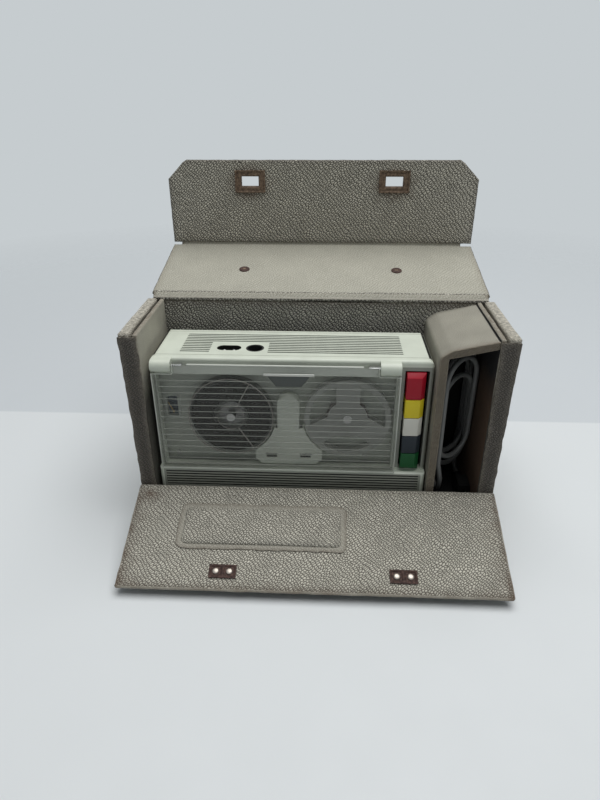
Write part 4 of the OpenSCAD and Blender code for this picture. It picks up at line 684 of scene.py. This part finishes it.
def free_edges(xs, far):
    """Wear along a board's sides and far edge, and none along its hinge."""
    def worn(x, v):
        return min(1.0, 1.1 * math.exp(-min(x - xs[0], xs[1] - x, far - v) / WORN_REACH))
    return worn


def flap_soil(x, a):
    """Brown handling marks along the flap's free edges, and a blot by its left hinge corner."""
    side = min(x - flap_x[0], flap_x[1] - x)
    rub = 0.6 * math.exp(-side / 8) + 0.4 * math.exp(-(FLAP_LEN - a) / 5)
    off = ((x - BLOT[0]) / BLOT_SIZE[0]) ** 2 + ((a - BLOT[1]) / BLOT_SIZE[1]) ** 2
    return clamp((rub + 0.9 * math.exp(-off)) * (0.75 + 0.9 * ripple(x, a, 25, 8)), high=0.8)


def tip_shape(x, v):
    """The tip's two upper corners are cut off."""
    cut = max(0.0, CHAMFER - min(x + COVER_HALF, COVER_HALF - x))
    return FOLD + (v - FOLD) * (TIP_LEN - cut - FOLD) / (TIP_LEN - FOLD)


def eyelet_stain(x, a):
    """Rust that has crept into the skin round and below the eyelets."""
    d = math.hypot((abs(x) - LOCK_X) / 21, (a - EYELET_A + 3) / 17)
    return 0.75 * clamp(1.5 - d * 1.25 + 0.5 * ripple(x, a, 9, 6))


panel("flap_board", FLAP, flap_x, flap_a, FLAP_T, [leather_out, leather_out, flap_rim],
      "leatherette", "flap", shape=round_corners(flap_x, flap_a, 2.5, (False, True)), seed=21,
      step=5, wave=0.35, rough=0.4, replaces=("front_flap",), worn=free_edges(flap_x, FLAP_LEN),
      stain=flap_soil)
panel("cover_board", COVER, cover_x, cover_a, COVER_T, [lining, leather_out], "lining", "cover",
      seed=22, wave=0.4, rough=0.5, replaces=("top_cover",), worn=free_edges(cover_x, NO_EDGE))
panel("tip_board", TIP, cover_x, tip_a, TIP_T, [leather_tip, leather_out, leather_tip],
      "leatherette", "tip", shape=tip_shape, holes=eyelet_holes, seed=23, step=5, wave=0.35,
      rough=0.35, replaces=("tip_flap",), worn=1.6, stain=eyelet_stain)


# Creases: skin over each hinge line
def crease(name, place, bodies, base, reach, xs, mats, seed, ragged, lift, slot="leatherette",
           fold=FOLD, **more):
    """Skin from points on the first board, over the hinge line, to a little way up the second."""
    rise = ((fold * 0.45, lift * 0.55), (fold, lift - 0.25), (fold + 2, lift), (reach, lift))
    path = base + [place(0, a, u)[1:] for a, u in rise]
    o = band(name, path, xs, mats, slot, ragged, seed, **more)
    Vector((0, *base[-1])) * MM
    Vector(place(0, fold * 0.7, 0)) * MM
    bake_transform(o)


def cover_tear(x):
    """The middle of the cover's skin has come away from the back panel."""
    return 1.5 * clamp((44 - abs(x - 18)) / 6)


CREASE_REACH = 3
flap_base = [(-54.4, lip_high - 3), (-54.5, lip_high + 0.6), (-55.6, lip_high + 3.4)]
cover_base = [(46.3, back_high - 0.8), (46.2, back_high + 0.8), (46.3, back_high + 2.4),
              (47.0, back_high + 3.9)]
tip_from = ((FOLD + CREASE_REACH, 1.4), (FOLD + 1.5, 1.5), (FOLD - 0.6, 1.3), (1.4, 0.8))
tip_base = [COVER(0, COVER_LEN - a, u)[1:] for a, u in tip_from]
crease("flap_crease", FLAP, ("case", "flap"), flap_base, FLAP_FOLD + CREASE_REACH,
       (-HALF_W + 0.6, HALF_W - 0.6), [leather_out], 31, (0.9, 0.0), 1.25, fold=FLAP_FOLD)
crease("cover_crease", COVER, ("case", "cover"), cover_base, COVER_NEAR + CREASE_REACH,
       (-COVER_HALF + 2, COVER_HALF - 2), [lining, fray, leather_back], 32, (0.6, 0.0), 1.3,
       slot="lining", fold=COVER_NEAR, torn=cover_tear, kinds=(2, 2, 1))
crease("tip_crease", TIP, ("cover", "tip"), tip_base, FOLD + CREASE_REACH, (-161, 158),
       [lining, lining], 33, (0.0, 0.0), 1.2)

# Padded panel on the flap's inner face: a flat border sewn down round a crowned cushion
PAD_X, PAD_A, PAD_R, BORDER, BORDER_T = (-126.0, 30.0), (22.0, 69.0), 6.0, 4.6, 0.8
PAD_COLS, PAD_ROWS, PULL, CROWN = 96, 36, 0.01, 3.0
panel("pad_border", shifted(FLAP, 0, 0, FLAP_T / 2 + BORDER_T / 2 + 0.1), PAD_X, PAD_A,
      BORDER_T + 0.2, [pad_edge], "leatherette", "flap", shape=round_corners(PAD_X, PAD_A, PAD_R),
      seed=41, step=3.0, wave=0.12, rough=1.1, worn=1.2)
mid_x, mid_a = sum(PAD_X) / 2, sum(PAD_A) / 2
half_x, half_a = (PAD_X[1] - PAD_X[0]) / 2 - BORDER, (PAD_A[1] - PAD_A[0]) / 2 - BORDER
seat = FLAP_T / 2 + BORDER_T
tops, lows, grains = [], [], []
for i in range(PAD_COLS + 1):
    for j in range(PAD_ROWS + 1):
        s, t = (math.sin(math.pi / 2 * (2 * k / n - 1)) for k, n in ((i, PAD_COLS), (j, PAD_ROWS)))
        cut = fall(half_a * (1 - abs(t)), PAD_R)
        x = mid_x + (half_x - cut) * s * (1 - PULL * (1 - t * t))
        a = mid_a + half_a * t * (1 - 2 * PULL * (1 - s * s))
        full = (1 - abs(s) ** 26) ** 0.5 * (1 - abs(t) ** 9) ** 0.5
        rise = full * (CROWN + 0.16 * ripple(x, a, 44, 14))
        tops.append(FLAP(x, a, seat + 0.25 + rise))
        lows.append(FLAP(x, a, seat + 0.05))
        grains.append((x + math.copysign(CROWN - rise, s), a + math.copysign(CROWN - rise, t)))
faces = encased(grid(PAD_COLS + 1, PAD_ROWS + 1), len(tops))
cushion = piece("pad_cushion", tops + lows, faces, [leather_out], "flap",
                attrs={"grain": grains * 2}, replaces=("flap_pad",))
outward(cushion)

# Fittings: lock plates, their rivets, eyelet frames, cover rivets
LOCK_A, RIVET_STEP, PLATE, WELL = 90.0, 6.0, (12.1, 6.3), (1.6, 10.2, 4.2)
LOCK_RIVET = [(2.9, 0), (2.9, 0.5), (2.7, 1.0), (2.0, 1.35), (1.1, 1.55), (0, 1.6)]
COVER_RIVET = [(5.6, 0), (5.6, 0.5), (5.1, 1.0), (3.6, 1.45), (2.4, 1.4), (1.9, 0.9), (0, 0.8)]
RIMS, RIM_T = (((16.6, 11.6), (14.6, 9.6), 0.95), ((12.2, 7.8), (9.6, 5.35), 0.7)), 0.7
HANDLE_HALF, HANDLE_A = 81.0, 49.0
for k, x in enumerate(s * LOCK_X + t * RIVET_STEP for s in (-1, 1) for t in (-1, 1)):
    lathe(f"lock_rivet_{k}", LOCK_RIVET, shifted(FLAP, x, LOCK_A, FLAP_T / 2 + 0.9), [nickel],
          "flap")
wells = [(-WELL[1], -WELL[0], -WELL[2], WELL[2]), (WELL[0], WELL[1], -WELL[2], WELL[2])]
for s in (-1, 1):
    at = shifted(FLAP, s * LOCK_X, LOCK_A, FLAP_T / 2 + 1.0)
    panel(f"lock_rim_{s + 1}", at, (-PLATE[0], PLATE[0]), (-PLATE[1], PLATE[1]), 0.9,
          [rusty_dark], "rusty_steel", "flap", r=0.4, holes=wells, wave=0.05, rough=0.2,
          seed=50 + s, step=3)
for k, (size, cut, up) in enumerate(RIMS):
    for s in (-1, 1):
        at = shifted(TIP, s * LOCK_X, EYELET_A, TIP_T / 2 + up)
        panel(f"eyelet_rim_{k}_{s + 1}", at, (-size[0], size[0]), (-size[1], size[1]), RIM_T,
              [rusty], "rusty_steel", "tip", r=0.5, holes=[(-cut[0], cut[0], -cut[1], cut[1])],
              wave=0.08, rough=0.25, seed=60 + k, step=3)
for s in (-1, 1):
    at = shifted(COVER, s * HANDLE_HALF, HANDLE_A, COVER_T / 2)
    lathe(f"cover_rivet_{s + 1}", COVER_RIVET, at, [rusty_dark], "cover")

# Strap handle under the cover
STRAP_W, STRAP_T, STRAP_GAP, STRAP_FOOT, STRAP_KNEE = 22.0, 4.0, 16.0, 72.0, 50.0
STRAP_FAR, STRAP_ROUND, STRAP_RING, STRAP_STEPS = 90.0, 9, 24, 60
STITCH_A, STITCH_FAR, STITCH_STEP = 8.2, 70, 4


def strap_height(x):
    t = clamp((STRAP_FOOT - abs(x)) / (STRAP_FOOT - STRAP_KNEE))
    return STRAP_T / 2 + STRAP_GAP * t * t * (3 - 2 * t)


def strap_point(x, across, out):
    """Point of the strap: across its width, and out from its middle line."""
    slope = strap_height(x + 0.5) - strap_height(x - 0.5)
    k = math.hypot(1, slope)
    return COVER(x - out * slope / k, HANDLE_A + across,
                 -COVER_T / 2 - strap_height(x) - out / k)


ring = []
for k in range(STRAP_RING):
    t = 2 * math.pi * k / STRAP_RING
    c, s = math.cos(t), math.sin(t)
    ring.append((math.copysign(abs(c) ** 0.35, c), math.copysign(abs(s) ** 0.6, s)))
stations = [STRAP_FAR * math.sin(math.pi / 2 * (k / STRAP_STEPS - 1))
            for k in range(2 * STRAP_STEPS + 1)]
verts, grains = [], []
for x in stations:
    past = max(0.0, (abs(x) - STRAP_FAR + STRAP_ROUND) / STRAP_ROUND)
    width = STRAP_W / 2 * min(1.0, math.sqrt(max(0.02, 1 - past ** 2)) + 0.25)
    for c, s in ring:
        verts.append(strap_point(x, c * width, s * (STRAP_T / 2 - 0.02)))
        grains.append((x, 30 * s + c * width))
faces = grid(len(stations), STRAP_RING, across=True)
faces += [tuple(range(STRAP_RING)), tuple(range(len(verts) - STRAP_RING, len(verts)))]
outward(piece("strap_handle", verts, faces, [strap_skin], "cover",
              attrs={"grain": grains}, replaces=("handle_strap",)))
stitches = [((x - 1.3, s * STITCH_A - 0.4, 1.75), (x + 1.3, s * STITCH_A + 0.4, 2.2))
            for s in (-1, 1) for x in range(-STITCH_FAR, STITCH_FAR + 1, STITCH_STEP)]
blocks("strap_stitches", stitches, 0.2, strap_point, [thread], "cover", 1)

# Compartment box: one folded board drawn out along Y, dark inside, with round folds and edge
COMP = [(107.5, 13), (107.5, 185), (117.5, 192), (157, 201), (157, 193.5), (118.5, 184.5),
        (115, 184), (115, 13)]
COMP_KINDS = [0, 0, 0, 1, 1, 1, 1, 0]
COMP_R = [1.3, 3.0, 2.5, 1.3, 1.3, 1.5, 1.3, 1.3]
COMP_Y = tuple(corner.y for corner in box("compartment_box"))
COMP_CUT, COMP_FOLDS, COMP_STEPS = 2, 4, 12  # material of its cut ends, points of a fold, rings
COMP_IN, COMP_TOP = (115.4, 156.6), 183.0
loop, kinds = [], []
for i, kind in enumerate(COMP_KINDS):
    p, q, n = (Vector(COMP[k % len(COMP)]) for k in (i, i - 1, i + 1))
    a, b = (p + (e - p).normalized() * min(COMP_R[i], (e - p).length * 0.45) for e in (q, n))
    for t in (k / COMP_FOLDS for k in range(COMP_FOLDS + 1)):
        loop.append(a * (1 - t) ** 2 + p * 2 * t * (1 - t) + b * t * t)
        kinds.append(kind)
count, run = len(loop), lengths(loop)
area = sum(a.x * b.y - a.y * b.x for a, b in zip(loop, loop[1:] + loop[:1]))
inward = []
for k in range(count):
    t = (loop[(k + 1) % count] - loop[k - 1]).normalized()
    inward.append(Vector((-t.y, t.x)) * (1 if area > 0 else -1))
near, far = COMP_Y
steps = [(near, 0.7), (near + 0.25, 0.3), (near + 0.8, 0.0)]
steps += [(near + (far - near) * k / COMP_STEPS, 0.0) for k in range(1, COMP_STEPS + 1)]
verts, grains, wear = [], [], []
for y, inset in steps:
    for k, p in enumerate(loop):
        q = p + inward[k] * (inset + 0.25 * ripple(run[k], y, 71, 30))
        verts.append((q.x, y + (0.4 * ripple(run[k], 0, 72, 8) if inset else 0), q.y))
        grains.append((run[k], y))
        wear.append(math.exp(-(y - near) / 2))
faces = grid(len(steps), count, across=True)
face_mats = [COMP_CUT] * 2 * count + kinds * (len(steps) - 3)
for first in (0, len(verts) - count):
    cut = verts[first:first + count]
    faces.append(tuple(range(len(verts), len(verts) + count)))
    face_mats.append(COMP_CUT)
    verts += cut
    grains += [(v[0], v[2]) for v in cut]
    wear += [0.35] * count
comp = piece("compartment_board", verts, faces, [lining_side, dark_lining, raw_edge],
             "case", face_mats, {"grain": grains, "wear": wear}, ("compartment_box",))
comp.data.set_sharp_from_angle(angle=math.radians(50))
outward(comp)
panel("compartment_back_dark", lambda x, v, u: (x, COMP_Y[1] - 0.75 + u, v), COMP_IN,
      (box("base_liner")[1].z + 0.4, COMP_TOP), 0.9, [dark_lining], "dark_lining", "case", r=0.4,
      seed=75, wave=0.1, rough=0.1)

# CAD shapes that stay, in their own materials
for mat, names in (
    (rusty, "lock_knob_left lock_knob_right handle_rivets eyelet_frames"),
    (shell, "cabinet"), (bezel, "front_bezel"), (trim, "head_cover"), (deck, "deck_plate"),
    (lid_clear, "lid_cover"), (clear_reel, "reel_left"), (pale_reel, "reel_right"),
    (tape, "tape_left"), (leader, "tape_right"), (chrome, "hinge_pins"), (meter, "level_meter"),
    (steel, "spindle_left spindle_right record_head erase_head tape_guides key_shaft"),
    (steel, "housing_screws capstan_flywheel pinch_arm"), (brass, "motor_pulley meter_needle"),
    (black, "loudspeaker mains_socket signal_socket volume_wheel cable_plug cable_connector"),
    (rubber, "recorder_feet drive_belt pinch_roller"), (board, "circuit_board"),
    (iron, "motor transformer"), (rusty_dark, "lock_fittings"),
):
    for node in names.split():
        dress(node, mat)
KEYS = {
    "key_record": ("red", (166, 8, 36)), "key_rewind": ("yellow", (224, 204, 40)),
    "key_stop": ("white", (222, 221, 210)), "key_play": ("slate", (38, 46, 54)),
    "key_forward": ("green", (16, 84, 42)),
}
KEY_ROUND = 0.5
for node, (tone, colour) in KEYS.items():
    skin = plastic(node, colour, 0.34, shade=0.03, relief=0.02, Specular_IOR_Level=0.3)
    softened(node, skin, KEY_ROUND, tone + "_key")

# Recorder: seams round the housing, vent ribs, socket pins
CORNER_R, CORNER_STEPS, SEAMS_V = 7.0, 12, (BEZEL_D, 65.5)
SEAM = ((-0.35, -0.2), (-0.3, 0.05), (0.0, 0.1), (0.3, 0.05), (0.35, -0.2))
VENT_U, VENT_STEP, VENTS, VENT_W, VENT_V, VENT_DEEP = 25, 15.5, 14, 2.6, (15.0, 60), 6
SOCKETS_U, SOCKETS_V = (54, 108), 37.0
MAINS_U, MAINS_V, PIN_STEP, PIN_DEEP = 71.0, 25.0, 4.5, 15
PIN = [(1.3, 0), (1.3, 12.3), (1.1, 12.9), (0.7, 13.1), (0, 13.15)]
right, top = REC_SIZE.x - CORNER_R, REC_SIZE.z - CORNER_R
loop = []
for cx, cz, start in ((right, CORNER_R, -90), (right, top, 0), (CORNER_R, top, 90),
                      (CORNER_R, CORNER_R, 180)):
    for k in range(CORNER_STEPS + 1):
        t = math.radians(start + 90 * k / CORNER_STEPS)
        loop.append((cx, cz, math.cos(t), math.sin(t)))
for k, v in enumerate(SEAMS_V):
    verts = [rec(cx + c * (CORNER_R + grow), v + dv, cz + s * (CORNER_R + grow))
             for cx, cz, c, s in loop for dv, grow in SEAM]
    faces = grid(len(loop), len(SEAM), around=True, across=True)
    outward(piece(f"housing_seam_{k}", verts, faces, [seam], "recorder"))
ribs = []
for u in [VENT_U + VENT_STEP * k for k in range(VENTS)]:
    front = SOCKETS_V if SOCKETS_U[0] < u < SOCKETS_U[1] else VENT_V[0]
    ribs.append(((u, front, REC_SIZE.z - VENT_DEEP), (u + VENT_W, VENT_V[1], REC_SIZE.z - 1.0)))
blocks("vent_ribs", ribs, 0.3, rec, [seam], "recorder")
for k in (-1, 1):
    at = shifted(rec, MAINS_U + k * PIN_STEP, MAINS_V, REC_SIZE.z - PIN_DEEP)
    lathe(f"mains_pin_{k + 1}", PIN, at, [steel], "recorder", 20)

# Lid: painted highlights along its ribs and rims, a painted reflection on its top strip, and a
# blank plaque under a chrome bar
LID_U, LID_V, LID_W = (3.0, 230.0), -7.6, (48.0, 159.95)
RIBS, RIB_LOW, RIB_STEP, RIB_END = 15, 54.0, 6.4, 4.6
NOTCH_W, NOTCH_U, CATCH_U, RIM_V = 150.4, 19.9, 14, (LID_V - 0.35, LID_V + 1.2)
BADGE_U, BADGE_W, BAR_W, BADGE_TOP = (106.0, 152.0), (139.5, 152.5), 2.6, 2.0
rib_highlights = [((LID_U[0] + RIB_END, LID_V - 0.5, RIB_LOW + RIB_STEP * k + 0.05),
         (LID_U[1] - RIB_END, LID_V + 0.05, RIB_LOW + RIB_STEP * k + 0.6)) for k in range(RIBS)]
blocks("lid_ribs", rib_highlights, 0.2, rec, [lid_highlight], "lid")
rim_highlights = [((u - 0.5, RIM_V[0], LID_W[0] + 0.3), (u + 0.5, RIM_V[1], NOTCH_W - 0.3))
        for u in (LID_U[0] + 0.6, LID_U[1] - 0.6)]
rim_highlights.append(((LID_U[0] + NOTCH_U + CATCH_U, RIM_V[0], LID_W[1] - 1.0),
             (LID_U[1] - NOTCH_U - CATCH_U, LID_V + 1.6, LID_W[1] + 0.1)))
rim_highlights.append(((LID_U[0] + 0.4, LID_V - 0.3, LID_W[0]),
             (LID_U[1] - 0.4, LID_V + 0.8, LID_W[0] + 0.9)))
for side, near in ((1, LID_U[0]), (-1, LID_U[1])):
    inner = near + side * NOTCH_U
    across, up = sorted((near + side * 0.4, inner)), sorted((inner, inner + side * 0.8))
    rim_highlights.append(((across[0], RIM_V[0], NOTCH_W - 0.8), (across[1], RIM_V[1], NOTCH_W)))
    rim_highlights.append(((up[0], RIM_V[0], NOTCH_W), (up[1], RIM_V[1], LID_W[1] - 1.2)))
blocks("lid_rim_highlights", rim_highlights, 0.3, rec, [lid_edge_highlight], "lid")
reflection_u, reflection_w = (LID_U[0] + NOTCH_U + 2, LID_U[1] - NOTCH_U - 2), (NOTCH_W + 0.4, LID_W[1] - 1.2)
panel("lid_top_reflection", lambda x, v, u: rec(x, LID_V - 0.15 - u, v), reflection_u, reflection_w, 0.4, [lid_highlight],
      "clear_plastic", "lid", r=0.15, wave=0.0, rough=0.0)
bar = ((BADGE_U[0], LID_V - 1.4, BADGE_W[1] - BAR_W), (BADGE_U[1], LID_V, BADGE_W[1]))
blocks("lid_bar", [bar], 0.6, rec, [worn_chrome], "lid", 3)


def plaque_place(x, a, h):
    """The plaque narrows towards its lower edge."""
    t = (BADGE_W[1] - a) / (BADGE_W[1] - BADGE_W[0])
    mid = (BADGE_U[0] + BADGE_U[1]) / 2
    return rec(mid + (x - mid) * (0.92 - 0.42 * t), LID_V - 0.45 - h, a)


panel("lid_plaque", plaque_place, BADGE_U, (BADGE_W[0], BADGE_W[1] - BADGE_TOP), 0.9, [badge],
      "black_plastic", "lid", r=0.4, wave=0.0, rough=0.0, step=3)

# Head cover: two black patches for the slots in its foot, painted shade of their openings
SLOT_OUT, SLOT_HALF, SLOT_UP, SLOT_H = 16.5, 5.2, 7.6, 2.2
head_low, head_high = box("head_cover")
mid = (head_low.x + head_high.x) / 2
slot_shades = [((mid + s * SLOT_OUT - SLOT_HALF, head_low.y - 0.12, head_low.z + SLOT_UP),
          (mid + s * SLOT_OUT + SLOT_HALF, head_low.y + 0.6, head_low.z + SLOT_UP + SLOT_H))
         for s in (-1, 1)]
blocks("head_slot_shades", slot_shades, 0.4, lambda x, y, z: (x, y, z), [black], "recorder", 3)

# Left reel: pale lines on the clear flanges' rims, hub and spokes, painted highlights where they
# catch the light
REEL_U, REEL_V, REEL_W, HUB_R, SPOKE_R = 72.5, 1.6, 101.0, 13.0, 39.6


def reel_face(x, a, h):
    return rec(REEL_U + x, REEL_V - h, REEL_W + a)


for name, r, wide in (("rim", 40.9, 1.2), ("hub", HUB_R, 0.7)):
    profile = [(r - wide, 0.02), (r - wide, 0.3), (r - wide / 2, 0.45), (r, 0.3), (r, 0.02)]
    lathe(f"reel_{name}_line", profile, reel_face, [reel_highlight], "left_reel", 72,
          closed=True)
for k, deg in enumerate((62, 182, 302)):
    c, s = math.cos(math.radians(deg)), math.sin(math.radians(deg))
    blocks(f"reel_spoke_{k}", [((HUB_R, -0.5, 0.02), (SPOKE_R, 0.5, 0.4))], 0.15,
           lambda p, q, h, c=c, s=s: reel_face(p * c - q * s, p * s + q * c, h), [reel_highlight],
           "left_reel")

# Stored cable, on the route that the part's source gives it
PLUG_X, PLUG_Z, LEAD_IN_Y = 123.0, 26.3, -9.8
CON_X, CON_Z, BEND, BEND_STEPS, CABLE_D = 150.5, 24.3, 22.0, 12, 5.0
LOOP_R, LOOP_TURN, LOOP_STEP, LOOP_FRONT, MID_X = 21.5, math.radians(40), 9.0, -23.0, 136.0
TOPS, LOWS = (150, 128, 158, 138, 148), (66, 84, 70, 80, 72, 60)
LOOP_POINTS = 72


def between(a, b, t):
    return a + (b - a) * t


def loop_point(k, s):
    """Point on loop k, a share s of the way round it."""
    part, t = int(4 * s), 4 * s - int(4 * s)
    turn = math.radians(180 * t)
    h = (-LOOP_R, -LOOP_R * math.cos(turn), LOOP_R, LOOP_R * math.cos(turn))[part]
    z = (between(LOWS[k], TOPS[k], t), TOPS[k] + LOOP_R * math.sin(turn),
         between(TOPS[k], LOWS[k + 1], t), LOWS[k + 1] - LOOP_R * math.sin(turn))[part]
    y = LOOP_FRONT + h * math.sin(LOOP_TURN) + LOOP_STEP * (k + s)
    return (MID_X + h * math.cos(LOOP_TURN), y, z)


bends = [math.radians(90 * k / BEND_STEPS) for k in range(BEND_STEPS + 1)]
lead_up = LEAD_IN_Y - CABLE_D - BEND
route = [(PLUG_X, LEAD_IN_Y, PLUG_Z)]
for a in bends:
    y, z = lead_up + BEND * (1 - math.sin(a)), PLUG_Z + BEND * (1 - math.cos(a))
    route.append((PLUG_X, y, z))
for k in range(len(TOPS)):
    last = k == len(TOPS) - 1
    route += [loop_point(k, j / LOOP_POINTS)
              for j in range(3 * LOOP_POINTS // 4 - 2 if last else LOOP_POINTS)]
end_y = route[-1][1]
for a in bends:
    route.append((CON_X, end_y - BEND * (1 - math.cos(a)), CON_Z + BEND * (1 - math.sin(a))))
route.append((CON_X, end_y - BEND - CABLE_D, CON_Z))
curve = bpy.data.curves.new("mains_cable", "CURVE")
curve.dimensions = "3D"
curve.bevel_depth = CABLE_D / 2 * MM
curve.bevel_resolution = 4
curve.use_fill_caps = True
spline = curve.splines.new("POLY")
spline.points.add(len(route) - 1)
for p, q in zip(spline.points, route):
    p.co = (*(c * MM for c in q), 1)
curve.materials.append(cable_skin)
cable = settle("mains_cable", curve, "case", ("stored_cable",))
[c * MM for c in route[-1]]

# Stage, in metres: a pale floor in two tones that fades into a plain background
FLOOR_LINE, FLOOR_HALF, FADE, TONE_SCALE = 0.1665, 6, (0.45, 1.5), 20.0
WALL_TONE, FLOOR_TONE = srgb(206, 211, 214), srgb(222, 226, 227)
m = Mat("floor")
spot = m.add("TexCoord").outputs["Object"]
along = m.add("SeparateXYZ", {0: spot}).outputs["Y"]
tone = m.math("ADD", m.math("MULTIPLY", along, TONE_SCALE), 0.5 - TONE_SCALE * FLOOR_LINE)
m.set("Base Color", m.ramp(tone, (0.46, FLOOR_TONE), (0.54, WALL_TONE)))
m.set("Roughness", m.ramp(m.noise(20.0), (0.3, 0.6), (0.7, 0.75)))
far = m.add("VectorMath", {0: spot}, operation="LENGTH").outputs["Value"]
fade = m.math("DIVIDE", m.math("SUBTRACT", far, FADE[0]), FADE[1] - FADE[0])
m.set("Alpha", m.ramp(fade, (0.0, 1.0), (1.0, 0.0)))
mesh = bpy.data.meshes.new("floor")
corners = [(x * FLOOR_HALF, y * FLOOR_HALF, 0) for x, y in ((-1, -1), (1, -1), (1, 1), (-1, 1))]
mesh.from_pydata(corners, [], [(0, 1, 2, 3)])
mesh.materials.append(m.m)
floor = show("floor", mesh)

# World: soft light on the object, and a plain background for what is seen, mirrored or passed
LIGHT_TONE, LIGHT_LEVEL, SEEN_TONE = srgb(232, 238, 244), 0.18, srgb(198, 204, 207)
world = bpy.data.worlds.new("studio")
bpy.context.scene.world = world
w = Nodes(world)
light = w.tree.nodes["Background"]
w.put(light.inputs["Color"], LIGHT_TONE)
w.put(light.inputs["Strength"], LIGHT_LEVEL)
seen = w.add("Background", {"Color": SEEN_TONE, "Strength": 1.0})
ray = w.add("LightPath").outputs
either = ray["Is Camera Ray"]
for kind in ("Is Glossy Ray", "Is Transmission Ray"):
    either = w.math("MAXIMUM", either, ray[kind])
pick = w.add("MixShader", {0: either, 1: light.outputs[0], 2: seen.outputs[0]})
w.put(w.tree.nodes["World Output"].inputs[0], pick.outputs[0])

# One large lamp overhead
LAMP_AT, LAMP_AIM, LAMP_SIZE, LAMP_WATTS = (0.3, 0.15, 2.4), (0, 0.05, 0.1), (2.6, 2.2), 60
lamp = bpy.data.lights.new("overhead", "AREA")
lamp.shape = "RECTANGLE"
lamp.size, lamp.size_y = LAMP_SIZE
lamp.energy = LAMP_WATTS
overhead = show("overhead", lamp)
overhead.location = LAMP_AT
overhead.rotation_euler = (Vector(LAMP_AIM) - Vector(LAMP_AT)).to_track_quat("-Z", "Y").to_euler()

# Camera at the photograph's viewing angle, from a perspective fit of the part to it
SENSOR, FOCAL_PX, IMAGE_PX, CAM_AT = 36, 599.3, 800, (0.00884, -0.53246, 0.39595)
CAM_TURNS = ((2.292, "Z"), (62.134, "X"), (0.451, "Y"))
cam = bpy.data.cameras.new("camera")
cam.sensor_width = SENSOR
cam.lens = SENSOR * FOCAL_PX / IMAGE_PX
cam.clip_start, cam.clip_end = 0.01, 60
camera = show("camera", cam)
turns = [Matrix.Rotation(math.radians(a), 4, axis) for a, axis in CAM_TURNS]
camera.matrix_world = Matrix.Translation(CAM_AT) @ turns[0] @ turns[1] @ turns[2]
bpy.context.scene.camera = camera
bpy.context.scene.view_settings.view_transform = "Standard"

bpy.context.view_layer.update()
